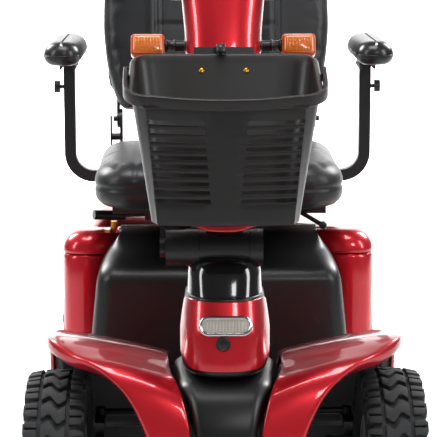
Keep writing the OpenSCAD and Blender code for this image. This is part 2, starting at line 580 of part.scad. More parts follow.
// Levels of the tiller cover along the tiller: [half width, front, back, s]
cover_s = [[tiller_w / 2 - 6, front_s - 16, 26, pivot_r + 5], [tiller_w / 2 - 2, front_s - 5, 32, 80],
  [tiller_w / 2 - 1, front_s, 36, 200], [tiller_w / 2, front_s, 40, 330], [tiller_w / 2 + 6, front_s - 2, 42, tiller_len]];
function cover_outline(l, t) = [for (p = [[-1, 1], [-1, -0.1], [-0.93, -0.52], [-0.7, -0.8], [-0.36, -0.95], [0, -1],
    [0.36, -0.95], [0.7, -0.8], [0.93, -0.52], [1, -0.1], [1, 1]])
  [p[0] * (l[0] - t), p[1] * ((p[1] > 0 ? l[2] : l[1]) - t), l[3]]];
module tiller_cover() color("#b40d1e") on_tiller() difference() {
  loft([for (l = cover_s) cover_outline(l, 0)]);
  translate([0, 0, -0.5]) loft([for (l = cover_s) [for (p = cover_outline(l, panel_t))
    [p[0], p[1], l[3] + (l[3] == tiller_len ? 1 : 0)]]]);
  for (x = [-30, 30]) span([x - 9, x + 9], [-front_s - 5, 0], [bracket_s[0] + 29, bracket_s[0] + 47]);
  bar_x([-tiller_w, tiller_w], 0, stalk_s, 9);
}

head_h = 120;
module control_head() color("#18181a") on_tiller() difference() {
  union() {
    // dash housing, its face towards the rider
    translate([0, 0, tiller_len + 1]) linear_extrude(head_h) polygon(round_rect(-105, 105, -front_s, 34, 22));
  }
  span([-99, 99], [-front_s + 5, 26], [tiller_len, tiller_len + head_h - 5]);
  bar_x([-120, 120], 0, tiller_len + 60, handlebar_d / 2 + 0.2);
  for (c = [[-58, 96], [-58, 66]]) bar_y(c[0], [20, 40], tiller_len + c[1], 7 + 0.3);
  bar_y(0, [20, 40], tiller_len + 92, 4 + run_clear);
  bar_y(58, [20, 40], tiller_len + 92, 4 + run_clear);
  span([-20, 20], [20, 40], [tiller_len + 16, tiller_len + 24]);
}

bar_half = handlebar_w / 2;
bar_reach = 130;
bar_bend = 55;
module handlebar() color("#1c1c1e") on_tiller() {
  bar_x([-bar_half + bar_bend, bar_half - bar_bend], 0, tiller_len + 60, handlebar_d / 2);
  both_sides() {
    translate([bar_half - bar_bend, bar_bend, tiller_len + 60]) rotate([0, 0, -90])
      rotate_extrude(angle = 90) translate([bar_bend, 0]) circle(d = handlebar_d);
    bar_y(bar_half, [bar_bend, bar_reach], tiller_len + 60, handlebar_d / 2);
    bar_y(bar_half, [bar_bend + 8, bar_reach + 6], tiller_len + 60, handlebar_d / 2 + 5);
  }
}

lens_x = tiller_w / 2 + 64;
module indicator_stalks() color("#1b1b1d") on_tiller() both_sides()
  bar_x([tiller_w / 2 - 12, lens_x - 28.5], 0, stalk_s, 8.5);
module indicator_lenses() color("#f07818") on_tiller() both_sides()
  translate([lens_x, 16, stalk_s]) rotate([90, 0, 0]) linear_extrude(32) polygon(round_rect(-28, 28, -18, 18, 6));

module tilt_lever() color("#18181a") difference() {
  union() {
    bar_x([-108, -98.5], steer_y, pivot_z, 16);
    translate([-108, steer_y, pivot_z]) rotate([-32, 0, 0]) span([0, 7], [-7, 7], [0, 62]);
    translate([-104.5, steer_y, pivot_z]) rotate([-32, 0, 0]) translate([0, 0, 62]) sphere(r = 11);
  }
}

throttle_z = tiller_len + 20;
module throttle_lever() color("#18181a") on_tiller() {
  bar_y(0, [12, 48], throttle_z, 3.2);
  span([-112, 112], [48, 54], [throttle_z - 7, throttle_z + 7]);
  for (x = [-112, 112]) bar_y(x, [46, 62], throttle_z, 9);
}
module speed_dial() color("#c8c8c8") on_tiller() {
  bar_y(0, [28, 40], tiller_len + 92, 4);
  bar_y(0, [34.6, 46], tiller_len + 92, 17);
}
module push_button(x, z) on_tiller() bar_y(x, [28, 40], tiller_len + z, 7);
module horn_button() color("#c0a020") push_button(-58, 66);
module light_button() color("#3060a0") push_button(-58, 96);
module ignition_key() color("#8d9196") on_tiller() {
  bar_y(58, [20, 38], tiller_len + 92, 4);
  span([56.5, 59.5], [38, 58], [tiller_len + 82, tiller_len + 102]);
}

// ---------- basket ----------
// World y of the plane s millimetres ahead of the tiller's axis, at height z
function plane_y(s, z) = steer_y - s * cos(tiller_rake)
  + (z - pivot_z - s * sin(tiller_rake)) / cos(tiller_rake) * sin(tiller_rake);
// Rings of the basket from the bottom to its sloping rim
function basket_ring(u, t, lift) = let (
    w = lerp(basket_low_half_w, basket_top_half_w, u) - t,
    zb = lerp(basket_low_z, basket_back_z, u), zf = lerp(basket_low_z, basket_front_z, u),
    b = plane_y(basket_back_s, zb) - t,
    f = lerp(plane_y(basket_back_s, basket_low_z) - basket_low_depth,
      plane_y(basket_back_s, basket_back_z) - basket_depth, u) + t)
  [for (p = basket_outline(w, f, b, 34 - t))
    [p[0], p[1], lerp(zf, zb, (p[1] - f) / (b - f)) + lift]];
// Plan outline with a bowed front
function basket_outline(w, f, b, r) = concat(
  [for (i = [0 : 4]) [w - r + r * cos(22.5 * i), b - r + r * sin(22.5 * i)]],
  [for (i = [0 : 4]) [-w + r + r * cos(90 + 22.5 * i), b - r + r * sin(90 + 22.5 * i)]],
  [for (i = [0 : 3]) [-w + r - r * cos(24 * i), f + 14 + r - r * sin(24 * i)]],
  [for (i = [-3 : 3]) [i * (w - r) / 4, f + 14 * pow(i / 4, 2)]],
  [for (i = [3 : -1 : 0]) [w - r + r * cos(24 * i), f + 14 + r - r * sin(24 * i)]]);
slot_pitch = (basket_front_z - basket_low_z - 60) / slot_rows;
module basket() color("#1e1b1a") difference() {
  loft([for (u = [0, 0.5, 1]) basket_ring(u, 0, 0)]);
  loft([for (u = [0, 0.5, 1]) basket_ring(u, basket_wall, u == 0 ? basket_wall : u == 1 ? 1 : 0)]);
  for (k = [0 : slot_rows - 1]) {
    z = basket_low_z + 36 + slot_pitch * k;
    u = (z - basket_low_z) / (basket_front_z - basket_low_z);
    both_sides() {
      span([lerp(22, 38, u), lerp(basket_low_half_w, basket_top_half_w, u) - 24], [-900, front_y + 200], [z, z + 7]);
      span([60, 300], [plane_y(basket_back_s, z) - 84, plane_y(basket_back_s, z) - 36], [z, z + 7]);
    }
  }
}

handle_y = plane_y(basket_back_s, basket_back_z) - 105;
handle_z = 846;
handle_drop = 18;     // slope of the handle from its pivots to its front
module basket_handle() color("#1b1918") union() {
  translate([0, handle_y, handle_z]) rotate([handle_drop, 0, 0]) translate([0, 0, -10]) linear_extrude(20)
    difference() {
      polygon([for (p = basket_outline(basket_top_half_w + 10, -basket_depth + 88, 60, 46)) if (p[1] < 9) p]);
      polygon([for (p = basket_outline(basket_top_half_w + 4.5, -basket_depth + 94, 70, 42)) if (p[1] < 20) p]);
    }
}

// ---------- seat ----------
module seat_post() color("#3a3c40") union() {
  bar_z(0, seat_y, [rail_z + 60, swivel_z - 10], post_r);
  bar_z(0, seat_y, [swivel_z - 10, swivel_z], 50);
  bar_z(0, seat_y, [swivel_z, swivel_z + 26], 20);
}

rail_gap_x = 140;         // middle of each seat slide
lever_in = [-105, seat_y - 40, swivel_z + 8];
module seat_swivel() color("#222326") difference() {
  union() {
    bar_z(0, seat_y, [swivel_z + 0.4, swivel_z + 14], 95);
    span([-150, 150], [seat_y - 45, seat_y + 45], [swivel_z + 6, swivel_z + 14]);
    both_sides() span([rail_gap_x - 12, rail_gap_x + 12], [seat_y - 120, seat_y + 110], [swivel_z + 14, pan_z - 14]);
    both_sides() span([rail_gap_x - 12, rail_gap_x + 12], [seat_y - 45, seat_y + 45], [swivel_z + 6, swivel_z + 16]);
  }
  bar_z(0, seat_y, [swivel_z - 1, swivel_z + 20], 20 + run_clear);
  bar_z(lever_in[0], lever_in[1], [swivel_z - 1, swivel_z + 20], 5 + run_clear);
  span([-152, -97], [lever_in[1] - 16, lever_in[1] + 16], [swivel_z + 9.5, swivel_z + 16]);
}

module seat_pan() color("#26272a") difference() {
  union() {
    both_sides() span([rail_gap_x - 11, rail_gap_x + 11], [seat_y - 130, seat_y + 130], [pan_z - 13.5, pan_z + 2]);
    span([-pan_half_w, pan_half_w], [seat_y - 200, seat_y + 180], [pan_z, pan_z + 5]);
    both_sides() {
      span([pan_half_w - 6, pan_half_w], [seat_y - 200, seat_y + 180], [pan_z, pan_z + pan_h]);
      // socket for the arm post
      span([pan_half_w - 75, pan_half_w - 2], [post_y - arm_tube / 2 - 4, post_y + arm_tube / 2 + 4],
        [pan_z + 2, post_z + arm_tube / 2 + 4]);
      // hinge plate for the backrest
      span([pan_half_w - 6, pan_half_w], [seat_y + 178, back_pivot_y + 22], [pan_z + 6, pan_z + pan_h]);
      span([pan_half_w - 6, pan_half_w], [back_pivot_y - 22, back_pivot_y + 22], [pan_z + 6, back_pivot_z]);
      bar_x([pan_half_w - 6, pan_half_w], back_pivot_y, back_pivot_z, 22);
    }
    for (y = [seat_y - 200, seat_y + 174]) span([-pan_half_w, pan_half_w], [y, y + 6], [pan_z, pan_z + 30]);
    bar_x([pan_half_w - 1, pan_half_w + 15], back_pivot_y, back_pivot_z, 6);
    bar_x([-pan_half_w - 15, -pan_half_w + 1], back_pivot_y, back_pivot_z, 6);
  }
  both_sides() span([pan_half_w - 72, pan_half_w + 1], [post_y - arm_tube / 2 - 0.3, post_y + arm_tube / 2 + 0.3],
    [post_z - arm_tube / 2 - 0.3, post_z + arm_tube / 2 + 0.3]);
  bar_y(150, [seat_y - 220, seat_y - 180], pan_z + 12, 5 + run_clear);
}

cushion_y = [seat_y - 250, seat_y - 250 + seat_depth];
module seat_cushion() color("#17181a") difference() {
  translate([0, 0, pan_z + 14]) linear_extrude(seat_top_z - pan_z - 14)
    polygon(round_rect(-seat_w / 2, seat_w / 2, cushion_y[0], cushion_y[1], 70));
  span([-pan_half_w - 1, pan_half_w + 1], [seat_y - 201, cushion_y[1] + 1], [pan_z + 10, pan_z + pan_h + 1]);
  both_sides() span([pan_half_w, seat_w], [post_y - arm_tube / 2 - 2, post_y + arm_tube / 2 + 2],
    [pan_z + 10, post_z + arm_tube / 2 + 2]);
  // room for the slide lever
  span([134, 166], [seat_y - 228, seat_y - 200], [pan_z + 12, pan_z + 23]);
}

back_low = 14;            // start of the back cushion above its pivot
module backrest_frame() color("#1c1d1f") union() {
  both_sides() {
    difference() {
      union() {
        bar_x([pan_half_w + 0.6, pan_half_w + 6.6], back_pivot_y, back_pivot_z, 20);
        on_back() span([pan_half_w + 0.6, pan_half_w + 6.6], [-16, 30], [0, 90]);
      }
      bar_x([pan_half_w, pan_half_w + 8], back_pivot_y, back_pivot_z, 6 + run_clear);
    }
    on_back() span([pan_half_w - 30, pan_half_w + 6.6], [14, 30], [34, 90]);
  }
  // moulded back shell
  on_back() translate([0, 44, 0]) rotate([90, 0, 0]) linear_extrude(14) difference() {
    polygon(round_rect(-back_w / 2 + 14, back_w / 2 - 14, 40, back_h - 6, 60));
    for (x = [-60, 60]) translate([x, 0]) polygon(round_rect(-8, 8, 0, 1, 0.4));
  }
  on_back() for (x = [-60, 60]) difference() {
    span([x - 14, x + 14], [44, 66], [back_h - 90, back_h - 20]);
    bar_z(x, 55, [back_h - 91, back_h - 19], 6 + run_clear);
  }
}

module back_cushion() color("#17181a") on_back() {
  translate([0, 29.5, 0]) rotate([90, 0, 0]) linear_extrude(76) difference() {
    polygon([[-back_w / 2 + 54, back_low], [back_w / 2 - 54, back_low], [back_w / 2 - 34, back_low + 20],
      [back_w / 2 - 12, 110], [back_w / 2, 190], [back_w / 2 - 4, back_h - 110], [back_w / 2 - 30, back_h - 30],
      [back_w / 2 - 80, back_h], [-back_w / 2 + 80, back_h], [-back_w / 2 + 30, back_h - 30],
      [-back_w / 2 + 4, back_h - 110], [-back_w / 2, 190], [-back_w / 2 + 12, 110], [-back_w / 2 + 34, back_low + 20]]);
    both_sides() polygon([[pan_half_w - 32, -10], [300, -10], [300, 100], [pan_half_w - 32, 100]]);
  }
}

module headrest() color("#17181a") on_back() union() {
  translate([0, 40, 0]) rotate([90, 0, 0]) linear_extrude(70)
    polygon(round_rect(-130, 130, back_h + 10, back_h + 130, 45));
  for (x = [-60, 60]) {
    bar_z(x, 55, [back_h - 150, back_h + 70], 6);
    span([x - 6, x + 6], [36, 60], [back_h + 60, back_h + 74]);
  }
}

module arm_post() union() {
  h = arm_tube / 2;
  span([pan_half_w - 70, post_x - bend_r], [post_y - h, post_y + h], [post_z - h, post_z + h]);
  translate([post_x - bend_r, post_y, post_z + bend_r]) rotate([90, 0, 0]) rotate([0, 0, -90])
    rotate_extrude(angle = 90) translate([bend_r - h, -h]) square([arm_tube, arm_tube]);
  difference() {
    span([post_x - h, post_x + h], [post_y - h, post_y + h], [post_z + bend_r, arm_pad_z - 6]);
    bar_x([post_x - 20, post_x + 20], post_y, arm_hinge_z, 4 + run_clear);
  }
  // height knob
  bar_x([post_x + h, post_x + h + 16], post_y, arm_hinge_z - 50, 4);
  bar_x([post_x + h + 8, post_x + h + 20], post_y, arm_hinge_z - 50, 13);
}
module left_arm_post() color("#17181a") arm_post();
module right_arm_post() color("#17181a") mirror([1, 0, 0]) arm_post();

module arm_pad() union() {
  h = arm_tube / 2 + 0.8;
  translate([0, 0, arm_pad_z]) linear_extrude(arm_pad_t)
    polygon(round_rect(post_x - arm_pad_w / 2 - 3, post_x + arm_pad_w / 2 - 3, post_y + 12 - arm_pad_l, post_y + 12, 26));
  for (x = [post_x - h - 4, post_x + h])
    span([x, x + 4], [post_y - 60, post_y + 10], [arm_hinge_z - 9, arm_pad_z + 1]);
  span([post_x - h - 4, post_x + h + 4], [post_y - 150, post_y - 20], [arm_pad_z - 5, arm_pad_z + 1]);
  bar_x([post_x - h - 4, post_x + h + 4], post_y, arm_hinge_z, 4);
}
module left_arm_pad() color("#17181a") arm_pad();
module right_arm_pad() color("#17181a") mirror([1, 0, 0]) arm_pad();

// ---------- seat and drive levers ----------
module swivel_lever() color("#18181a") union() {
  bar_z(lever_in[0], lever_in[1], [swivel_z - 3, swivel_z + 22], 5);
  span([lever_in[0] - 50, lever_in[0] + 7], [lever_in[1] - 8, lever_in[1] + 8], [swivel_z + 9.6, swivel_z + 13]);
  rod([lever_in[0] - 49.5, lever_in[1], swivel_z + 12], [-210, seat_y - 80, swivel_z + 18], 4);
  rod([-196, seat_y - 74.5, swivel_z + 16.6], [-258, seat_y - 99, swivel_z + 22.6], 10);
}
module slide_lever() color("#8d9196") union() {
  bar_y(150, [seat_y - 215, seat_y - 170], pan_z + 12, 5);
  rod([150, seat_y - 212, pan_z + 12], [205, seat_y - 230, pan_z - 18], 4.5);
  translate([207, seat_y - 230, pan_z - 19]) sphere(r = 8);
}
recline_y = back_pivot_y - 4;
recline_z = back_pivot_z - 40;
module recline_lever() color("#18181a") union() {
  bar_x([-pan_half_w - 20, -pan_half_w - 0.6], recline_y, recline_z, 8);
  translate([-pan_half_w - 22, recline_y, recline_z]) rotate([-12, 0, 0]) span([0, 4], [-14, 14], [-24, 46]);
}
freewheel_y = body_front_y + 42;
module freewheel_lever() color("#c8921e") union() {
  bar_x([-226, -214], freewheel_y, lid_top_z - 34, 7);
  rod([-220, freewheel_y, lid_top_z - 34], [-220, freewheel_y, lid_top_z + 8], 4.5);
  translate([-220, freewheel_y, lid_top_z + 2]) cylinder(r = 6.5, h = 16);
}

chassis_frame();
floor_deck();
floor_mat();
front_nose();
left_front_fender();
right_front_fender();
rear_body();
rear_lid();
battery_cover();
rear_bumper();
tail_lights();
batteries();
transaxle();
steering_column();
console_shroud();
console_cover();
headlight_bezel();
headlight_lens();
left_knuckle();
right_knuckle();
tie_rod();
front_left_tyre();
front_left_rim();
front_right_tyre();
front_right_rim();
rear_left_tyre();
rear_left_rim();
rear_right_tyre();
rear_right_rim();
left_anti_tip_wheel();
right_anti_tip_wheel();
tiller_post();
tiller_cover();
control_head();
handlebar();
indicator_stalks();
indicator_lenses();
tilt_lever();
throttle_lever();
speed_dial();
horn_button();
light_button();
ignition_key();
basket();
basket_handle();
seat_post();
seat_swivel();
seat_pan();
seat_cushion();
backrest_frame();
back_cushion();
headrest();
left_arm_post();
right_arm_post();
left_arm_pad();
right_arm_pad();
swivel_lever();
slide_lever();
recline_lever();
freewheel_lever();
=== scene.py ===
"""Mobility scooter: the looks of every piece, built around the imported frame."""

import json
import logging
import math
from dataclasses import dataclass, field
from enum import Enum
from typing import Callable, Iterable, Sequence

import bmesh
import bpy
from mathutils import Matrix, Vector

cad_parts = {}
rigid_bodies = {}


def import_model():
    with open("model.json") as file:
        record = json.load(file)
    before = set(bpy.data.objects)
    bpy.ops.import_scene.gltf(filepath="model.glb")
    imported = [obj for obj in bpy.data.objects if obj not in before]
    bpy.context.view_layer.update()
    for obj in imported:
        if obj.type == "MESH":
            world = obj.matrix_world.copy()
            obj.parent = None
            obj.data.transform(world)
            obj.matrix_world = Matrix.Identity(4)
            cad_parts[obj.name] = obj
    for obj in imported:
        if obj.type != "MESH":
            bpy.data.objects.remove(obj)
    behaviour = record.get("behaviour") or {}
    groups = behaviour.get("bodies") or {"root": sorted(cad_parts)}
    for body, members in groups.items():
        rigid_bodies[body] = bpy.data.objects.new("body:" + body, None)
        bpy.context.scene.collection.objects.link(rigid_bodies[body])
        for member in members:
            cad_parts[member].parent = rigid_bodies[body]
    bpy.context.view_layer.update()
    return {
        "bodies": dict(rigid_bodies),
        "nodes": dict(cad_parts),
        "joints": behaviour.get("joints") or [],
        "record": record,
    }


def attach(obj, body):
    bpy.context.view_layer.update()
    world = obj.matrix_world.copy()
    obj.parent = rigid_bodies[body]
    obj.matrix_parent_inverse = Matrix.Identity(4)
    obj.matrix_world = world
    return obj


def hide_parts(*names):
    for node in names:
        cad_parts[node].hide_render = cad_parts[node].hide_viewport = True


LOG = logging.getLogger("scooter")
MM = 0.001
Point = tuple[float, float, float]


# ---------- small helpers ----------
def linear(code: str) -> tuple[float, float, float, float]:
    """Turn an sRGB hex colour into linear light.

    Args:
        code: Colour such as "#b40d1e".

    Returns:
        Linear red, green, blue and an alpha of one.
    """
    parts = [int(code[i : i + 2], 16) / 255 for i in (1, 3, 5)]
    channels = [c / 12.92 if c <= 0.04045 else ((c + 0.055) / 1.055) ** 2.4 for c in parts]
    return (*channels, 1.0)


def add(tree: bpy.types.NodeTree, kind: str, settings: dict | None = None, links: dict | None = None) -> bpy.types.Node:
    """Add a node with its settings and links.

    Args:
        tree: Node tree that gets the node.
        kind: The node's type name.
        settings: Attribute values, or input values where the key is an input's name or index.
        links: Output sockets to join to the inputs of that name or index.

    Returns:
        The new node.
    """
    node = tree.nodes.new(kind)
    for key, value in (settings or {}).items():
        if isinstance(key, int) or (key in node.inputs and not hasattr(node, key)):
            node.inputs[key].default_value = value
        else:
            setattr(node, key, value)
    for key, socket in (links or {}).items():
        tree.links.new(socket, node.inputs[key])
    return node


def lerp(a: float, b: float, t: float) -> float:
    """Value a share t of the way from a to b."""
    return a + (b - a) * t


def smooth(values: Sequence[float], t: float) -> float:
    """Cubic reading of evenly spaced values.

    Args:
        values: Values at equal steps from 0 to 1.
        t: Place from 0 to 1.

    Returns:
        The value there, on a curve through all of them.
    """
    n = len(values) - 1
    i = min(int(t * n), n - 1)
    f = t * n - i
    p = [values[max(0, min(n, i + k))] for k in (-1, 0, 1, 2)]
    return 0.5 * (2 * p[1] + (p[2] - p[0]) * f + (2 * p[0] - 5 * p[1] + 4 * p[2] - p[3]) * f * f
                  + (3 * p[1] - p[0] - 3 * p[2] + p[3]) * f ** 3)


def along(rows: Sequence[Sequence[float]], count: int) -> list[tuple[float, ...]]:
    """Resample rows of numbers at equal steps on a smooth curve through them."""
    columns = list(zip(*rows))
    return [tuple(smooth(c, k / (count - 1)) for c in columns) for k in range(count)]


# ---------- finishes ----------
@dataclass(frozen=True)
class Finish:
    """A material with grain, colour variation and gloss from real sizes."""

    name: str
    colour: str
    variation: str
    roughness: float
    metallic: float = 0.0
    ior: float = 1.5
    coat: float = 0.0
    grain_mm: float = 1.2
    grain_depth: float = 0.05
    rough_swing: float = 0.06
    sheen: float = 0.0
    transmission: float = 0.0
    subsurface: float = 0.0

    def build(self) -> bpy.types.Material:
        """Build the material's nodes."""
        material = bpy.data.materials.new(self.name)
        material.use_nodes = True
        tree = material.node_tree
        tree.nodes.clear()
        shader = add(tree, "ShaderNodeBsdfPrincipled", {
            "Metallic": self.metallic, "IOR": self.ior, "Coat Weight": self.coat, "Coat Roughness": 0.04,
            "Sheen Weight": self.sheen, "Transmission Weight": self.transmission,
            "Subsurface Weight": self.subsurface})
        place = add(tree, "ShaderNodeTexCoord").outputs["Object"]
        self.pattern(tree, place, shader)
        out = add(tree, "ShaderNodeOutputMaterial")
        tree.links.new(shader.outputs["BSDF"], out.inputs["Surface"])
        return material

    def pattern(self, tree: bpy.types.NodeTree, place: bpy.types.NodeSocket, shader: bpy.types.Node) -> None:
        """Link colour, roughness and bump.

        Args:
            tree: The material's tree.
            place: Object coordinates in metres.
            shader: The principled shader.
        """
        cloud = add(tree, "ShaderNodeTexNoise", {"Scale": 9.0, "Detail": 3.0}, {"Vector": place})
        grain = add(tree, "ShaderNodeTexNoise", {"Scale": 1 / (self.grain_mm * MM), "Detail": 2.0}, {"Vector": place})
        mix = add(tree, "ShaderNodeMix", {"data_type": "RGBA"}, {0: cloud.outputs["Fac"]})
        mix.inputs[6].default_value = linear(self.colour)
        mix.inputs[7].default_value = linear(self.variation)
        tree.links.new(mix.outputs[2], shader.inputs["Base Color"])
        rough = add(tree, "ShaderNodeMapRange", {
            3: max(0.02, self.roughness - self.rough_swing), 4: self.roughness + self.rough_swing},
            {0: cloud.outputs["Fac"]})
        tree.links.new(rough.outputs[0], shader.inputs["Roughness"])
        if self.grain_depth > 0:
            bump = add(tree, "ShaderNodeBump", {"Strength": self.grain_depth, "Distance": 0.4 * MM},
                       {"Height": grain.outputs["Fac"]})
            tree.links.new(bump.outputs["Normal"], shader.inputs["Normal"])


@dataclass(frozen=True)
class CandyPaint(Finish):
    """Metallic candy lacquer: fine flakes under a clear coat, with painted shade that darkens the colour towards edges
    turned away from the camera.
    """

    flake_mm: float = 0.7

    def pattern(self, tree: bpy.types.NodeTree, place: bpy.types.NodeSocket, shader: bpy.types.Node) -> None:
        """Link the flakes, the painted edge shade and the coat's slight waviness."""
        # painted shade: the colour goes to the dark crimson variation where the surface turns away from the camera
        edge = add(tree, "ShaderNodeLayerWeight", {"Blend": 0.35})
        edge_shade_tint = add(tree, "ShaderNodeMix", {"data_type": "RGBA"}, {0: edge.outputs["Facing"]})
        edge_shade_tint.inputs[6].default_value = linear(self.colour)
        edge_shade_tint.inputs[7].default_value = linear(self.variation)
        flakes = add(tree, "ShaderNodeTexVoronoi", {"Scale": 1 / (self.flake_mm * MM)}, {"Vector": place})
        spark = add(tree, "ShaderNodeMapRange", {1: 0.0, 2: 1.0, 3: 0.88, 4: 1.12}, {0: flakes.outputs["Distance"]})
        lit = add(tree, "ShaderNodeVectorMath", {"operation": "SCALE"},
                  {0: edge_shade_tint.outputs[2], 3: spark.outputs[0]})
        tree.links.new(lit.outputs[0], shader.inputs["Base Color"])
        rough = add(tree, "ShaderNodeMapRange", {3: self.roughness - 0.04, 4: self.roughness + 0.08},
                    {0: flakes.outputs["Distance"]})
        tree.links.new(rough.outputs[0], shader.inputs["Roughness"])
        wave = add(tree, "ShaderNodeTexNoise", {"Scale": 55.0, "Detail": 1.0}, {"Vector": place})
        bump = add(tree, "ShaderNodeBump", {"Strength": 0.04, "Distance": 0.5 * MM}, {"Height": wave.outputs["Fac"]})
        tree.links.new(bump.outputs["Normal"], shader.inputs["Coat Normal"])


@dataclass(frozen=True)
class GrainedVinyl(Finish):
    """Upholstery vinyl: embossed leather cells a few millimetres wide with soft creases."""

    cell_mm: float = 3.2

    def pattern(self, tree: bpy.types.NodeTree, place: bpy.types.NodeSocket, shader: bpy.types.Node) -> None:
        """Link the embossed cells, the colour and the wear."""
        super().pattern(tree, place, shader)
        cells = add(tree, "ShaderNodeTexVoronoi", {"feature": "DISTANCE_TO_EDGE", "Scale": 1 / (self.cell_mm * MM)},
                    {"Vector": place})
        creases = add(tree, "ShaderNodeTexNoise", {"Scale": 26.0, "Detail": 4.0, "Distortion": 0.6}, {"Vector": place})
        height = add(tree, "ShaderNodeMath", {"operation": "MULTIPLY_ADD", 1: 1.6},
                     {0: cells.outputs["Distance"], 2: creases.outputs["Fac"]})
        bump = add(tree, "ShaderNodeBump", {"Strength": 0.16, "Distance": 0.8 * MM}, {"Height": height.outputs[0]})
        tree.links.new(bump.outputs["Normal"], shader.inputs["Normal"])


@dataclass(frozen=True)
class BrushedMetal(Finish):
    """Drawn or turned metal: fine lines along the bar break up the shine."""

    def pattern(self, tree: bpy.types.NodeTree, place: bpy.types.NodeSocket, shader: bpy.types.Node) -> None:
        """Link the brush lines to roughness and bump."""
        super().pattern(tree, place, shader)
        squeeze = add(tree, "ShaderNodeMapping", {"Scale": (60.0, 900.0, 900.0)}, {"Vector": place})
        lines = add(tree, "ShaderNodeTexNoise", {"Scale": 1.0, "Detail": 2.0}, {"Vector": squeeze.outputs[0]})
        rough = add(tree, "ShaderNodeMapRange", {3: self.roughness - 0.08, 4: self.roughness + 0.12},
                    {0: lines.outputs["Fac"]})
        tree.links.new(rough.outputs[0], shader.inputs["Roughness"])


class Look(Enum):
    """The finishes of the scooter."""

    # lacquered ABS: deep red, made darker towards the edges by painted shade
    RED = CandyPaint("candy red lacquer on ABS", "#cb0a1f", "#640313", 0.30, metallic=0.55, coat=1.0)
    # moulded ABS: even satin with a fine spark-eroded grain
    SATIN = Finish("satin moulded ABS", "#09090a", "#0f0f11", 0.36, grain_mm=0.9, grain_depth=0.10)
    # polished tool ABS: almost mirror black
    GLOSS = Finish("gloss moulded ABS", "#09090a", "#0d0d0e", 0.12, coat=0.6, grain_depth=0.01, rough_swing=0.02)
    # grained polypropylene: slightly warm black, soft shine
    BASKET = Finish("grained polypropylene", "#100d0c", "#171312", 0.40, grain_mm=1.1, grain_depth=0.14)
    # upholstery vinyl: blue-grey black, broad soft shine
    VINYL = GrainedVinyl("embossed upholstery vinyl", "#090a0e", "#0e1014", 0.40, sheen=0.04)
    # self-skinned polyurethane: smooth, shiny rubber skin
    PAD = Finish("self-skinned polyurethane", "#111113", "#19191c", 0.30, grain_mm=1.4, grain_depth=0.10)
    # powder-coated steel: slight orange peel
    COAT = Finish("black powder coat", "#111214", "#191a1c", 0.36, grain_mm=1.6, grain_depth=0.16)
    # filled rubber: grey bloom on black
    TYRE = Finish("vulcanised tread rubber", "#1a1b1d", "#2c2d2f", 0.72, grain_mm=1.8, grain_depth=0.35)
    # cast and painted wheel
    RIM = Finish("silver painted cast aluminium", "#8f9296", "#a2a5a9", 0.34, metallic=0.85, grain_mm=1.0)
    # zinc plate: bluish bright steel
    ZINC = BrushedMetal("bright zinc plated steel", "#b4b8be", "#c9ccd0", 0.28, metallic=1.0)
    # dark steel on the tie rod and the slide lever; on the tie rod, hidden under the fenders, the darkness is painted
    # shade
    DARK = BrushedMetal("dark steel and painted shade", "#17181a", "#232426", 0.34, metallic=0.8)
    # vacuum-metallised bezel
    CHROME = Finish("vacuum chromed plastic", "#d6d8dc", "#e2e4e6", 0.08, metallic=1.0, grain_depth=0.0,
                    rough_swing=0.02)
    # brass screws and the passivated lever
    BRASS = Finish("yellow passivated brass", "#b98326", "#d7a545", 0.30, metallic=1.0, grain_depth=0.04)
    # cast iron housing
    CAST = Finish("painted cast iron", "#3b3d40", "#4a4c50", 0.55, metallic=0.3, grain_mm=2.4, grain_depth=0.4)
    # battery boxes
    BATTERY = Finish("moulded polypropylene battery box", "#2c2d31", "#37383c", 0.5)
    # clear moulded lens with frosted optics behind it
    CLEAR = Finish("frosted clear polycarbonate", "#a9a398", "#c2bdb2", 0.22, coat=0.5, transmission=0.15, ior=1.58,
                   grain_depth=0.0, rough_swing=0.04)
    # amber lens: saturated orange that glows at thin edges
    AMBER = Finish("amber polycarbonate", "#f2640a", "#ff8a1c", 0.12, coat=1.0, transmission=0.25, ior=1.58,
                   grain_depth=0.0, rough_swing=0.03, subsurface=0.2)
    # dark orange behind the lens ribs
    EMBER = Finish("deep amber reflector", "#a83a06", "#c84d08", 0.25, coat=0.6, grain_depth=0.0)
    # tail lamp lens
    TAIL = Finish("red polycarbonate", "#9c0808", "#c01010", 0.14, coat=1.0, transmission=0.2, ior=1.58,
                  grain_depth=0.0)
    # ribbed rubber mat
    MAT = Finish("ribbed rubber mat", "#131314", "#1c1c1d", 0.68, grain_mm=1.5, grain_depth=0.25)
    # light grey dial, yellow and blue buttons
    GREY = Finish("light grey ABS", "#a9abad", "#b7b9bb", 0.42)
    YELLOW = Finish("yellow ABS", "#c9a21c", "#d8b22c", 0.36)
    BLUE = Finish("blue ABS", "#22549c", "#2c62ae", 0.36)
    PALE = Finish("pale printed film", "#c8ccd0", "#d6dade", 0.3, grain_depth=0.0)

    @property
    def slot(self) -> str:
        """The record's material slot that goes with this finish."""
        return SLOTS[self.name]

    def material(self) -> bpy.types.Material:
        """The finish's material, built once."""
        found = bpy.data.materials.get(self.value.name)
        return found or self.value.build()


SLOTS = {"RED": "red_paint", "SATIN": "black_abs", "GLOSS": "gloss_black", "BASKET": "basket_black",
         "VINYL": "vinyl_black", "PAD": "vinyl_black", "COAT": "frame_black", "TYRE": "tyre_rubber",
         "RIM": "rim_silver", "ZINC": "steel", "DARK": "steel", "CHROME": "lamp_chrome",
         "BRASS": "lever_brass", "CAST": "gearbox",
         "BATTERY": "battery_case", "CLEAR": "lamp_glass", "AMBER": "amber_lens", "EMBER": "amber_lens",
         "TAIL": "tail_red", "MAT": "small_rubber", "GREY": "dial_grey", "YELLOW": "button_yellow",
         "BLUE": "button_blue", "PALE": "dial_grey"}


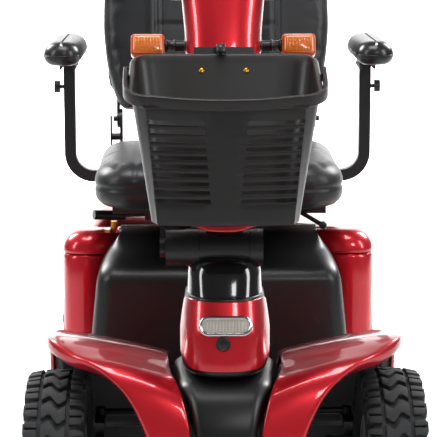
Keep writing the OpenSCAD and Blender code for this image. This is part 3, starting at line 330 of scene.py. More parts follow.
# ---------- mesh helpers ----------
def piece(name: str, verts: Iterable[Point], faces: Iterable[Sequence[int]], look: Look, *, outward: bool = True,
          flat: bool = False) -> bpy.types.Object:
    """Make a piece from points in millimetres.

    Args:
        name: The piece's name.
        verts: Points in millimetres, in the scooter's frame.
        faces: Point numbers of each face.
        look: Its finish.
        outward: Whether normals are recalculated to point outwards.
        flat: Whether faces stay flat shaded.

    Returns:
        The linked object, at the origin.
    """
    mesh = bpy.data.meshes.new(name)
    mesh.from_pydata([tuple(c * MM for c in v) for v in verts], [], [tuple(f) for f in faces])
    if outward:
        tidy(mesh)
    mesh.polygons.foreach_set("use_smooth", [not flat] * len(mesh.polygons))
    mesh.materials.append(look.material())
    obj = bpy.data.objects.new(name, mesh)
    bpy.context.scene.collection.objects.link(obj)
    return obj


def tidy(mesh: bpy.types.Mesh) -> None:
    """Merge doubles and turn the faces outwards."""
    edit = bmesh.new()
    edit.from_mesh(mesh)
    bmesh.ops.remove_doubles(edit, verts=edit.verts, dist=0.00005)
    bmesh.ops.recalc_face_normals(edit, faces=edit.faces)
    edit.to_mesh(mesh)
    edit.free()


def grid_faces(rows: int, columns: int, closed: bool = False, start: int = 0) -> list[tuple[int, ...]]:
    """Faces of a grid of points.

    Args:
        rows: Number of rows.
        columns: Points in a row.
        closed: Whether each row is a ring.
        start: Number of the first point.

    Returns:
        Four point numbers for each face.
    """
    last = columns if closed else columns - 1
    return [(start + r * columns + c, start + r * columns + (c + 1) % columns,
             start + (r + 1) * columns + (c + 1) % columns, start + (r + 1) * columns + c)
            for r in range(rows - 1) for c in range(last)]


def loft(name: str, rings: Sequence[Sequence[Point]], look: Look, caps: bool = True) -> bpy.types.Object:
    """A closed skin through rings with equal numbers of points."""
    columns = len(rings[0])
    faces = grid_faces(len(rings), columns, closed=True)
    if caps:
        faces += [tuple(range(columns)), tuple(range((len(rings) - 1) * columns, len(rings) * columns))]
    return piece(name, [p for ring in rings for p in ring], faces, look)


def sheet_of(name: str, rows: Sequence[Sequence[Point]], look: Look, wall: float, levels: int = 1,
             offset: float = -1.0) -> bpy.types.Object:
    """An open skin through rows of points, thickened and smoothed.

    Args:
        name: The piece's name.
        rows: Rows of points in millimetres.
        look: Its finish.
        wall: Thickness in millimetres.
        levels: Subdivision levels.
        offset: Side on which the thickness goes, -1 inwards.

    Returns:
        The piece.
    """
    obj = piece(name, [p for row in rows for p in row], grid_faces(len(rows), len(rows[0])), look, outward=False)
    if levels:
        subdivide(obj, levels)
    solid = obj.modifiers.new("wall", "SOLIDIFY")
    solid.thickness = wall * MM
    solid.offset = offset
    solid.use_rim = True
    return obj


def subdivide(obj: bpy.types.Object, levels: int) -> None:
    """Add a subdivision surface with equal view and render levels."""
    surface = obj.modifiers.new("surface", "SUBSURF")
    surface.levels = surface.render_levels = levels


def bevel(obj: bpy.types.Object, width: float, segments: int = 2, angle: float = 35) -> None:
    """Add a rounded edge.

    Args:
        obj: The piece.
        width: Width in millimetres.
        segments: Steps across the edge.
        angle: Sharper edges than this, in degrees, are rounded.
    """
    edge = obj.modifiers.new("edge", "BEVEL")
    edge.width = width * MM
    edge.segments = segments
    edge.limit_method = "ANGLE"
    edge.angle_limit = math.radians(angle)
    edge.harden_normals = False


def rounded(w: float, h: float, r: float, steps: int = 5, cx: float = 0.0,
            cy: float = 0.0) -> list[tuple[float, float]]:
    """Outline of a rectangle with rounded corners, counter-clockwise."""
    out = []
    for sx, sy, start in ((1, 1, 0), (-1, 1, 90), (-1, -1, 180), (1, -1, 270)):
        for i in range(steps + 1):
            a = math.radians(start + 90 * i / steps)
            out.append((cx + sx * (w / 2 - r) + r * math.cos(a), cy + sy * (h / 2 - r) + r * math.sin(a)))
    return out


def prism(name: str, outline: Sequence[tuple[float, float]], place: Callable[[float, float, float], Point],
          levels: Sequence[tuple[float, float]], look: Look) -> bpy.types.Object:
    """Closed solid of one outline at several levels.

    Args:
        name: The piece's name.
        outline: Points across.
        place: Maps across, across and level to the scooter's frame.
        levels: Pairs of level and scale of the outline about its middle.
        look: Its finish.

    Returns:
        The piece.
    """
    mx = sum(p[0] for p in outline) / len(outline)
    my = sum(p[1] for p in outline) / len(outline)
    half = max(max(abs(p[0] - mx) for p in outline), 1e-6)
    tall = max(max(abs(p[1] - my) for p in outline), 1e-6)
    rings = []
    for level, inset in levels:
        rings.append([place(mx + (p[0] - mx) * (1 - inset / half), my + (p[1] - my) * (1 - inset / tall), level)
                      for p in outline])
    return loft(name, rings, look)


def tube(name: str, points: Sequence[Point], radius: float, look: Look, sides: int = 12, closed: bool = False,
         flatten: float = 1.0) -> bpy.types.Object:
    """Tube along points, swept without twist.

    Args:
        name: The piece's name.
        points: Its middle line in millimetres.
        radius: Its radius in millimetres.
        look: Its finish.
        sides: Points round it.
        closed: Whether the line is a loop.
        flatten: Share of the radius left in the second direction.

    Returns:
        The piece.
    """
    line = [Vector(p) for p in points]
    count = len(line)
    verts: list[Point] = []
    normal = None
    for i, p in enumerate(line):
        ahead = line[(i + 1) % count] if closed or i + 1 < count else p
        behind = line[i - 1] if closed or i else p
        tangent = (ahead - behind).normalized()
        if normal is None:
            normal = tangent.orthogonal().normalized()
        normal = (normal - tangent * normal.dot(tangent)).normalized()
        side = tangent.cross(normal)
        for k in range(sides):
            a = 2 * math.pi * k / sides
            verts.append(tuple(p + normal * radius * math.cos(a) + side * radius * flatten * math.sin(a)))
    faces = grid_faces(count, sides, closed=True)
    if closed:
        faces += [((count - 1) * sides + k, (count - 1) * sides + (k + 1) % sides, (k + 1) % sides, k)
                  for k in range(sides)]
    else:
        faces += [tuple(range(sides)), tuple(range((count - 1) * sides, count * sides))]
    return piece(name, verts, faces, look)


def join(name: str, parts: Sequence[bpy.types.Object]) -> bpy.types.Object:
    """Join finished pieces of one body into one, with their modifiers applied."""
    depsgraph = bpy.context.evaluated_depsgraph_get()
    whole = bmesh.new()
    materials: list[bpy.types.Material] = []
    for part in parts:
        mesh = bpy.data.meshes.new_from_object(part.evaluated_get(depsgraph))
        first = len(whole.faces)
        whole.from_mesh(mesh)
        whole.faces.ensure_lookup_table()
        for face in whole.faces[first:]:
            material = part.data.materials[min(face.material_index, len(part.data.materials) - 1)]
            if material not in materials:
                materials.append(material)
            face.material_index = materials.index(material)
        bpy.data.meshes.remove(mesh)
        bpy.data.objects.remove(part)
    mesh = bpy.data.meshes.new(name)
    whole.to_mesh(mesh)
    whole.free()
    for material in materials:
        mesh.materials.append(material)
    obj = bpy.data.objects.new(name, mesh)
    bpy.context.scene.collection.objects.link(obj)
    return obj


def bake(obj: bpy.types.Object) -> bpy.types.Object:
    """Apply a piece's modifiers."""
    mesh = bpy.data.meshes.new_from_object(obj.evaluated_get(bpy.context.evaluated_depsgraph_get()))
    obj.modifiers.clear()
    obj.data = mesh
    return obj


def mirrored(obj: bpy.types.Object, name: str) -> bpy.types.Object:
    """A copy of a piece on the other side, with its faces outwards."""
    mesh = bpy.data.meshes.new_from_object(obj.evaluated_get(bpy.context.evaluated_depsgraph_get()))
    mesh.transform(Matrix.Scale(-1, 4, Vector((1, 0, 0))))
    mesh.flip_normals()
    twin = bpy.data.objects.new(name, mesh)
    bpy.context.scene.collection.objects.link(twin)
    return twin


def fit(obj: bpy.types.Object, body: str, look: Look, *nodes: str) -> bpy.types.Object:
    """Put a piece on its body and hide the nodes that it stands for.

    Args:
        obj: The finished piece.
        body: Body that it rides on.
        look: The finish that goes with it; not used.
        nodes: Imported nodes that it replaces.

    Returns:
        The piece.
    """
    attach(obj, body)
    if nodes:
        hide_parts(*nodes)
    LOG.info("%s: %d faces on %s", obj.name, len(obj.data.polygons), body)
    return obj


# ---------- the room ----------
@dataclass
class Studio:
    """Pale floor, soft lights and the camera."""

    eye: Point = (-50.0, -3360.0, 1115.0)
    pitch: float = 10.24
    yaw: float = 0.82
    roll: float = -0.1
    lens: float = 143.4
    paper: str = "#ffffff"
    mirrored: str = "#c4c4c4"

    def build(self) -> None:
        """Set up the floor, the lights and the camera."""
        self.floor()
        self.lights()
        self.camera()

    def floor(self) -> None:
        """Seamless pale floor that curves up behind the scooter."""
        rows = [[(x, -9000, -0.3), (x, 3000, -0.3), (x, 3700, 120), (x, 4100, 700), (x, 4200, 6000)]
                for x in (-7000, 7000)]
        mesh = bpy.data.meshes.new("floor")
        mesh.from_pydata([tuple(c * MM for c in p) for row in rows for p in row], [], grid_faces(2, 5))
        if mesh.polygons[0].normal.z < 0:
            mesh.flip_normals()
        mesh.materials.append(self.backdrop())
        obj = bpy.data.objects.new("floor", mesh)
        bpy.context.scene.collection.objects.link(obj)
        subdivide(obj, 2)

    def backdrop(self) -> bpy.types.Material:
        """White paper that mirrors as a dim grey and is clear from behind."""
        material = Finish("white paper backdrop", self.paper, "#fbfbfb", 0.9, grain_depth=0.0).build()
        tree = material.node_tree
        shader, out = tree.nodes["Principled BSDF"], tree.nodes["Material Output"]
        path = add(tree, "ShaderNodeLightPath")
        dim = add(tree, "ShaderNodeBsdfDiffuse", {"Color": linear(self.mirrored)})
        seen = add(tree, "ShaderNodeMixShader", {}, {0: path.outputs["Is Glossy Ray"], 1: shader.outputs[0],
                                                     2: dim.outputs[0]})
        clear = add(tree, "ShaderNodeBsdfTransparent")
        side = add(tree, "ShaderNodeNewGeometry")
        both = add(tree, "ShaderNodeMixShader", {}, {0: side.outputs["Backfacing"], 1: seen.outputs[0],
                                                     2: clear.outputs[0]})
        tree.links.new(both.outputs[0], out.inputs["Surface"])
        return material

    def lights(self) -> None:
        """Soft boxes above and at both sides, wash on the backdrop and a dim surround."""
        world = bpy.data.worlds.new("surround")
        world.use_nodes = True
        world.node_tree.nodes["Background"].inputs[0].default_value = linear("#ffffff")
        world.node_tree.nodes["Background"].inputs[1].default_value = 0.16
        bpy.context.scene.world = world
        boxes = (("top box", (-150, -700, 2900), (0, -150, 300), 1500, 900, 46),
                 ("left box", (-2500, -1300, 1900), (0, -100, 500), 500, 1700, 26),
                 ("right box", (2500, -1500, 1900), (0, -100, 500), 600, 1800, 36),
                 ("front box", (900, -3800, 2500), (0, -400, 450), 600, 800, 20),
                 ("left wash", (-2500, 2100, 2700), (-500, 3900, 300), 1400, 1400, 300),
                 ("right wash", (2500, 2100, 2700), (500, 3900, 300), 1400, 1400, 300))
        for name, place, aim, width, height, power in boxes:
            lamp = bpy.data.lights.new(name, "AREA")
            lamp.shape = "RECTANGLE"
            lamp.size = width * MM
            lamp.size_y = height * MM
            lamp.energy = power
            obj = bpy.data.objects.new(name, lamp)
            obj.location = Vector(place) * MM
            obj.rotation_euler = (Vector(aim) - Vector(place)).to_track_quat("-Z", "Y").to_euler()
            bpy.context.scene.collection.objects.link(obj)

    def camera(self) -> None:
        """Long lens in front of the scooter, a little above the basket."""
        data = bpy.data.cameras.new("camera")
        data.lens = self.lens
        data.sensor_width = 36.0
        obj = bpy.data.objects.new("camera", data)
        obj.location = Vector(self.eye) * MM
        turn = (Matrix.Rotation(math.radians(-self.yaw), 4, "Z")
                @ Matrix.Rotation(math.radians(90 - self.pitch), 4, "X")
                @ Matrix.Rotation(math.radians(self.roll), 4, "Z"))
        obj.rotation_euler = turn.to_euler()
        bpy.context.scene.collection.objects.link(obj)
        bpy.context.scene.camera = obj
        bpy.context.scene.view_settings.view_transform = "Standard"


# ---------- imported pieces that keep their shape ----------
@dataclass
class FramePieces:
    """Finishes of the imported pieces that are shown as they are."""

    looks: dict[str, Look] = field(default_factory=lambda: {
        "red_paint": Look.RED, "black_abs": Look.SATIN, "gloss_black": Look.GLOSS, "frame_black": Look.COAT,
        "tyre_rubber": Look.TYRE, "rim_silver": Look.RIM, "small_rubber": Look.MAT, "steel": Look.ZINC,
        "gearbox": Look.CAST, "battery_case": Look.BATTERY, "lamp_chrome": Look.CHROME, "lamp_glass": Look.CLEAR,
        "tail_red": Look.TAIL, "amber_lens": Look.AMBER, "basket_black": Look.BASKET, "vinyl_black": Look.VINYL,
        "dial_grey": Look.GREY, "button_yellow": Look.YELLOW, "button_blue": Look.BLUE, "lever_brass": Look.BRASS})
    # the tie rod is darkened as painted shade under the fenders; the slide lever is darkened as well
    darkened: tuple[str, ...] = ("tie_rod", "slide_lever")

    def dress(self, frame: dict) -> None:
        """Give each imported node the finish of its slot."""
        for row in frame["record"]["subparts"]:
            data = frame["nodes"][row["node"]].data
            data.materials.clear()
            look = Look.DARK if row["node"] in self.darkened else self.looks[row["material_slot"]]
            data.materials.append(look.material())


# ---------- repeats ----------
@dataclass(frozen=True)
class Repeat:
    """Geometry Nodes group that repeats a piece along a step and about an axis."""

    name: str
    count: int
    step: Point = (0.0, 0.0, 0.0)
    turn: Point = (0.0, 0.0, 0.0)

    def group(self) -> bpy.types.NodeTree:
        """Build the node group.

        Returns:
            The group, with the inputs Geometry, Count, Step, Turn and Material.
        """
        tree = bpy.data.node_groups.new(self.name, "GeometryNodeTree")
        for label, kind in (("Geometry", "NodeSocketGeometry"), ("Count", "NodeSocketInt"),
                            ("Step", "NodeSocketVector"), ("Turn", "NodeSocketVector"),
                            ("Material", "NodeSocketMaterial")):
            tree.interface.new_socket(label, in_out="INPUT", socket_type=kind)
        tree.interface.new_socket("Geometry", in_out="OUTPUT", socket_type="NodeSocketGeometry")
        given = add(tree, "NodeGroupInput").outputs
        line = add(tree, "GeometryNodeMeshLine", None, {"Count": given["Count"], "Offset": given["Step"]})
        index = add(tree, "GeometryNodeInputIndex")
        angle = add(tree, "ShaderNodeVectorMath", {"operation": "SCALE"},
                    {0: given["Turn"], 3: index.outputs[0]})
        copies = add(tree, "GeometryNodeInstanceOnPoints", None, {
            "Points": line.outputs[0], "Instance": given["Geometry"], "Rotation": angle.outputs[0]})
        real = add(tree, "GeometryNodeRealizeInstances", None, {0: copies.outputs[0]})
        paint = add(tree, "GeometryNodeSetMaterial", None, {"Geometry": real.outputs[0],
                                                             "Material": given["Material"]})
        add(tree, "NodeGroupOutput", None, {"Geometry": paint.outputs[0]})
        return tree

    def apply(self, obj: bpy.types.Object, look: Look) -> bpy.types.Object:
        """Repeat a piece and apply the result.

        Args:
            obj: The piece.
            look: The finish of the copies.

        Returns:
            The piece as a plain mesh.
        """
        modifier = obj.modifiers.new(self.name, "NODES")
        modifier.node_group = self.group()
        values = {"Count": self.count, "Step": [c * MM for c in self.step], "Turn": list(self.turn),
                  "Material": look.material()}
        for item in modifier.node_group.interface.items_tree:
            if item.item_type == "SOCKET" and item.in_out == "INPUT" and item.name in values:
                modifier[item.identifier] = values[item.name]
        return bake(obj)


# ---------- wheels ----------
@dataclass
class Wheels:
    """Four foam-filled tyres with S-shaped tread blocks."""

    radius: float = 165.0
    bead: float = 79.0
    width: float = 104.0
    blocks: int = 27
    track: float = 284.0
    height: float = 165.0
    places: tuple[tuple[str, float, float], ...] = (
        ("front_left", 1, -480.0), ("front_right", -1, -480.0), ("rear_left", 1, 445.0), ("rear_right", -1, 445.0))

    def build(self) -> None:
        """Build one tyre and set it on each wheel."""
        tyre = self.tyre()
        for name, side, y in self.places:
            mesh = tyre.data.copy()
            if side < 0:
                mesh.transform(Matrix.Scale(-1, 4, Vector((1, 0, 0))))
                mesh.flip_normals()
            mesh.transform(Matrix.Translation(Vector((side * self.track, y, self.height)) * MM))
            obj = bpy.data.objects.new(name + "_treaded_tyre", mesh)
            bpy.context.scene.collection.objects.link(obj)
            fit(obj, name + "_wheel", Look.TYRE, name + "_tyre")
        bpy.data.objects.remove(tyre)

    def tyre(self) -> bpy.types.Object:
        """One tyre about the middle of its axle."""
        parts = [self.carcass()]
        turn = (2 * math.pi / self.blocks, 0.0, 0.0)
        for name, rows in self.block_rows():
            block = loft(name, rows, Look.TYRE)
            bevel(block, 1.1, 2, 30)
            parts.append(Repeat(name + " round the tyre", self.blocks, turn=turn).apply(bake(block), Look.TYRE))
        return join("tyre", parts)

    def carcass(self) -> bpy.types.Object:
        """Body of the tyre: beads, bulged side walls, raised rim rings and the groove floor."""
        half = self.width / 2
        out = [(half - 18, self.bead), (half - 11, self.bead + 1), (half - 9, self.bead + 8),
               (half - 6, self.bead + 12),
               (half - 5, self.bead + 16), (half - 2.5, self.bead + 30), (half - 1, self.bead + 46),
               (half - 2.5, self.bead + 60), (half - 7, self.bead + 70), (half - 15, 155.5), (half - 26, 156.6),
               (12, 157)]
        outline = out + [(-x, r) for x, r in reversed(out)]
        count = 108
        rings = [[(x, r * math.sin(2 * math.pi * k / count), r * math.cos(2 * math.pi * k / count))
                  for x, r in outline] for k in range(count)]
        faces = grid_faces(count, len(outline), closed=True)
        last = (count - 1) * len(outline)
        n = len(outline)
        faces += [(last + c, last + (c + 1) % n, (c + 1) % n, c) for c in range(n)]
        return piece("carcass", [p for ring in rings for p in ring], faces, Look.TYRE)

    def block_rows(self) -> list[tuple[str, list[list[Point]]]]:
        """Outlines of the centre block, the two shoulder blocks and the side lugs."""
        pitch = 2 * math.pi * self.radius / self.blocks

        def ring(points: Sequence[tuple[float, float]], r: float) -> list[Point]:
            """Block outline rolled on to the tyre at radius r."""
            return [(x, r * math.sin(a / self.radius), r * math.cos(a / self.radius)) for x, a in points]

        across = [lerp(-20.5, 20.5, i / 8) for i in range(9)]
        sway = [8.5 * math.sin(math.pi * x / 21) + 2.5 * math.sin(2 * math.pi * x / 21) for x in across]
        half = pitch * 0.33
        centre = ([(x, s - half) for x, s in zip(across, sway)]
                  + [(x, s + half) for x, s in reversed(list(zip(across, sway)))])
        rows = [("centre block", [ring(centre, 153), ring(centre, self.radius - 0.4)])]
        for side in (-1, 1):
            lead = 8.0 * side
            for part, (a, b) in enumerate(((-pitch * 0.40, -pitch * 0.045), (pitch * 0.045, pitch * 0.33))):
                low = [(side * 26.5, lead + a), (side * 26.5, lead + b), (side * 47.5, lead + b + 2),
                       (side * 47.5, lead + a + 3)]
                top = [(x, t) for x, t in low]
                under = ring(low, 146)
                over = [ring([p], self.radius - (1.2 if abs(p[0]) < 30 else 5.5))[0] for p in top]
                rows.append((f"shoulder block {side} {part}", [under, over]))
            lug = [(side * 45, lead + 5 - pitch * 0.30), (side * 45, lead + 5 + pitch * 0.22)]
            inner = [(side * 45.5, lug[0][1], 156.5), (side * 45.5, lug[1][1], 156.5),
                     (side * 45.5, lug[1][1] - 3, 131), (side * 45.5, lug[0][1] + 3, 131)]
            outer = [(side * 50.5, a, r) for x, a, r in inner[:2]] + [(side * 51.8, a, r) for x, a, r in inner[2:]]
            rows.append((f"side lug {side}", [[(x, r * math.sin(a / self.radius), r * math.cos(a / self.radius))
                                              for x, a, r in level] for level in (inner, outer)]))
        return rows


# ---------- front body ----------
@dataclass
class FrontBody:
    """Two swept fenders with rolled arch lips, their black liners and the black nose between them."""

    rows: tuple[tuple[float, ...], ...] = (
        (54, -655, 190, 112, -655, 190, 0), (56, -655, 235, 116, -653, 235, 0), (60, -651, 278, 126, -649, 276, 2),
        (70, -631, 322, 157, -631, 333, 5), (80, -601, 344, 206, -601, 371, 6), (91, -563, 356, 254, -565, 387, 5),
        (96, -505, 367, 288, -512, 399, 4), (97, -440, 357, 297, -440, 394, 4),
        (97, -375, 338, 300, -370, 378, 5), (97, -320, 306, 302, -315, 340, 6),
        (97, -272, 238, 303, -270, 240, 3), (97, -260, 187, 303, -260, 185, 0))
    nose: tuple[tuple[float, ...], ...] = (
        (-655, 190, 50), (-655, 235, 52), (-651, 277, 55), (-631, 314, 64), (-607, 334, 74), (-581, 342, 84),
        (-530, 345, 90), (-440, 345, 92), (-370, 322, 92), (-325, 262, 92), (-278, 175, 92))

    def build(self) -> None:
        """Build both fenders, both liners and the nose."""
        fender = bake(self.fender())
        other = mirrored(fender, "right_swept_fender")
        fit(fender, "chassis", Look.RED, "left_front_fender")
        fit(other, "chassis", Look.RED, "right_front_fender")
        self.black_parts()

    def points(self, count: int, steps: int) -> list[list[Point]]:
        """Points of the fender's outer skin, a row at a time from the nose to the deck."""
        grid = []
        for row in along(self.rows, count):
            inner, outer, crown = Vector(row[0:3]), Vector(row[3:6]), row[6]
            line = []
            for i in range(steps + 1):
                u = i / steps
                p = inner.lerp(outer, u)
                line.append((p.x, p.y, p.z + crown * (1 - abs(2 * u - 1) ** 1.8)))
            grid.append(line)
        return grid

    def fender(self) -> bpy.types.Object:
        """The left fender with its rolled lip and its step beside the nose."""
        count, steps = 44, 12
        rows = []
        for k, line in enumerate(self.points(count, steps)):
            share = min(1.0, max(0.0, (k / (count - 1) * 11 - 2.4) / 3.2))
            edge = Vector(line[-1])
            out = (edge - Vector(line[-3])).normalized()
            back = Vector((0, 1 - share, -share)).normalized()
            lip = [edge + out * 4.0 + back * 1.0, edge + out * 8.0 + back * 5, edge + out * 9.5 + back * 13,
                   edge + out * 7.5 + back * 22, edge + out * 2.0 + back * 26]
            inner = Vector(line[0])
            depth = Vector((0, 1 - share, -share)).normalized()
            step = [inner + Vector((-1.0, 0, 0)) + depth * 14, inner + Vector((-0.8, 0, 0)) + depth * 2.5]
            rows.append([tuple(p) for p in step] + line + [tuple(p) for p in lip])
        return sheet_of("left_swept_fender", rows, Look.RED, 3.0, 1, offset=-1.0)

    def black_parts(self) -> None:
        """Liners under the fenders and the nose between them."""
        rows = []
        for k, line in enumerate(self.points(24, 6)):
            share = min(1.0, max(0.0, (k / 23 * 11 - 2.4) / 3.2))
            drop = Vector((0, 1 - share, -share)).normalized() * 17
            rows.append([(line[0][0] + 2, line[0][1] + drop.y * 1.2, line[0][2] + drop.z * 1.2 - 14)]
                        + [tuple(Vector(p) + drop - Vector((2 if i == len(line) - 1 else 0, 0, 0)))
                           for i, p in enumerate(line)])
        left = bake(sheet_of("liner", rows, Look.SATIN, 2.4, 1, offset=-1.0))
        right = mirrored(left, "other liner")
        fit(join("front_nose_and_liners", [left, right, self.middle()]), "chassis", Look.SATIN, "front_nose")

    def middle(self) -> bpy.types.Object:
        """The black nose, slightly crowned, with its edges turned down beside the fenders."""
        rows = []
        for k, (y, z, half) in enumerate(along(self.nose, 40)):
            share = min(1.0, max(0.0, (k / 39 * 10 - 1.8) / 2.6))
            out = Vector((0, -(1 - share), share)).normalized()
            line = []
            for i in range(13):
                u = i / 6 - 1
                p = Vector((u * half, y, z)) + out * (4.5 * (1 - u * u))
                if abs(u) == 1:
                    p -= out * 16
                line.append(tuple(p))
            rows.append(line)
        return sheet_of("nose", rows, Look.SATIN, 3.0, 1, offset=-1.0)


# ---------- console ----------
@dataclass
class Console:
    """Steering console: black shroud, red cover, lamp, horn and screws."""

    levels: tuple[tuple[float, float, float, float], ...] = (
        (68, 103, 51, 353), (71.5, 106, 52, 359), (73, 106, 52, 374), (73, 103, 51, 400), (73, 99, 50, 424),
        (70, 90, 49, 448), (66.5, 81, 48, 468), (65, 77, 47, 478))
    cap: tuple[tuple[float, float, float, float], ...] = (
        (63.5, 75, 47, 478), (63, 72, 46, 484), (62, 65, 45, 500), (61, 58, 44, 514), (57, 50, 42, 526),
        (48, 40, 37, 534), (30, 25, 25, 537))
    lamp: Point = (0.0, -594.0, 436.0)
    tilt: float = 21.0

    def build(self) -> None:
        """Build every piece of the console."""
        shroud = loft("console_black_shroud", [self.ring(*l) for l in along(self.levels, 26)], Look.SATIN)
        fit(shroud, "steering", Look.SATIN, "console_shroud")
        fit(loft("console_gloss_cap", [self.ring(*l) for l in along(self.cap, 22)], Look.GLOSS), "steering", Look.GLOSS)
        fit(bake(self.cover()), "steering", Look.RED, "console_cover")
        self.headlamp()
        self.small_parts()

    def ring(self, w: float, f: float, b: float, z: float, count: int = 72) -> list[Point]:
        """Outline of one level: bowed front, flatter back."""
        return [self.at(2 * math.pi * k / count, w, f, b, z) for k in range(count)]

    def at(self, a: float, w: float, f: float, b: float, z: float) -> Point:
        """Point of a level at angle a, which runs from the left side round the back."""
        c, s = math.cos(a), math.sin(a)
        x = w * math.copysign(abs(c) ** (2 / 2.7), c)
        y = b * abs(s) ** (2 / 5) if s > 0 else -f * abs(s) ** (2 / 2.3)
        return (x, -500 + y, z)

    def level(self, z: float) -> tuple[float, float, float]:
        """Half width, front and back at height z."""
        for low, high in zip(self.levels, self.levels[1:]):
            if z <= high[3]:
                t = max(0.0, (z - low[3]) / (high[3] - low[3]))
                return tuple(lerp(low[i], high[i], t) for i in range(3))
        return self.levels[-1][:3]

    def on_front(self, u: float, z: float, proud: float) -> Point:
        """Point of the front at u from -1 (right) to 1 (left), standing proud of the shroud."""
        w, f, b = self.level(z)
        return self.at(math.radians(-90 + u * 90), w + proud, f + proud, b, z)

    def cover(self) -> bpy.types.Object:
        """Red cover with rounded corners and a black band left around it."""
        rows = []
        edge = [0.78, 0.80, 0.81, 0.81]
        across = [-u for u in reversed(edge)] + [lerp(-0.75, 0.75, i / 30) for i in range(31)] + edge
        for k, v in enumerate([0, 0, 0.012, 0.04] + [0.04 + 0.92 * i / 22 for i in range(1, 22)] + [0.97, 0.99, 1, 1]):
            row = []
            for i, u in enumerate(across):
                far = max(0.0, (abs(u) - 0.42) / 0.39)
                low = 363 + 27 * (1 - math.sqrt(max(0.0, 1 - far ** 2.2)))
                high = 474.5 - 7 * (1 - math.sqrt(max(0.0, 1 - max(0.0, (abs(u) - 0.66) / 0.15) ** 2)))
                z = lerp(low, high, v)
                border = k in (0, 28) or i in (0, len(across) - 1)
                row.append(self.on_front(u, z, -1.0 if border else 4.2))
            rows.append(row)
        return sheet_of("console_red_cover", rows, Look.RED, 2.0, 1, offset=-1.0)

    def on_lamp(self, x: float, up: float, out: float) -> Point:
        """Point in the tilted plane of the lamp."""
        t = math.radians(self.tilt)
        return (self.lamp[0] + x, self.lamp[1] - out * math.cos(t) + up * math.sin(t),
                self.lamp[2] + out * math.sin(t) + up * math.cos(t))

    def headlamp(self) -> None:
        """Chromed oval bezel with a fluted frosted lens."""
        outline = rounded(82, 27, 13.4, 10)
        bezel = join("headlamp_bezel", [
            tube("rim", [self.on_lamp(x, y, 4.5) for x, y in outline], 3.4, Look.CHROME, 14, closed=True),
            prism("dish", rounded(88, 32, 15.9, 10), self.on_lamp, ((-9, 0), (1, 0), (3.4, 2.5), (3.4, 3.5)),
                  Look.CHROME)])
        fit(bezel, "steering", Look.CHROME, "headlight_bezel")
        rows = []
        for k in range(97):
            x = lerp(-37.5, 37.5, k / 96)
            tall = 10.4 * math.sqrt(max(0.02, 1 - max(0.0, (abs(x) - 27.0) / 10.6) ** 2))
            flute = 0.45 * math.cos(2 * math.pi * x / 5.2)
            row = []
            for i in range(15):
                v = i / 7 - 1
                dome = 3.6 * (1 - (x / 42) ** 4) * (1 - 0.8 * v ** 4)
                row.append(self.on_lamp(x, v * tall, 3.2 + dome + flute + 0.25 * math.cos(4 * math.pi * v)))
            rows.append(row)
        lens = bake(sheet_of("headlamp_fluted_lens", rows, Look.CLEAR, 2.0, 0, offset=-1.0))
        fit(lens, "steering", Look.CLEAR, "headlight_lens")

    def small_parts(self) -> None:
        """Round horn under the lamp and two screws on each side."""
        def facing(x: float, z: float, out: float) -> Point:
            """Point in the horn's plane."""
            return (-4 + x, -604.5 - out, 409 + z)

        horn = prism("horn", disc(12.2, 32), facing,
                     ((-4, 0), (2.6, 0), (3.6, 1), (3.6, 2.4), (2.0, 3.2), (2.6, 5), (3.4, 11)), Look.SATIN)
        fit(horn, "steering", Look.SATIN)
        screws = []
        for side in (-1, 1):
            for z in (392, 452):
                w = self.level(z)[0]
                place = lambda a, b, out, s=side, h=z, e=w: (s * (e - 1.5 + out), -506 + a, h + b)
                screws.append(prism("screw", [(3.4 * math.cos(t * math.pi / 8), 3.4 * math.sin(t * math.pi / 8))
                                              for t in range(16)], place, ((-3, 0), (1.4, 0), (2.2, 1.4)), Look.ZINC))
        fit(join("console_screws", screws), "steering", Look.ZINC)


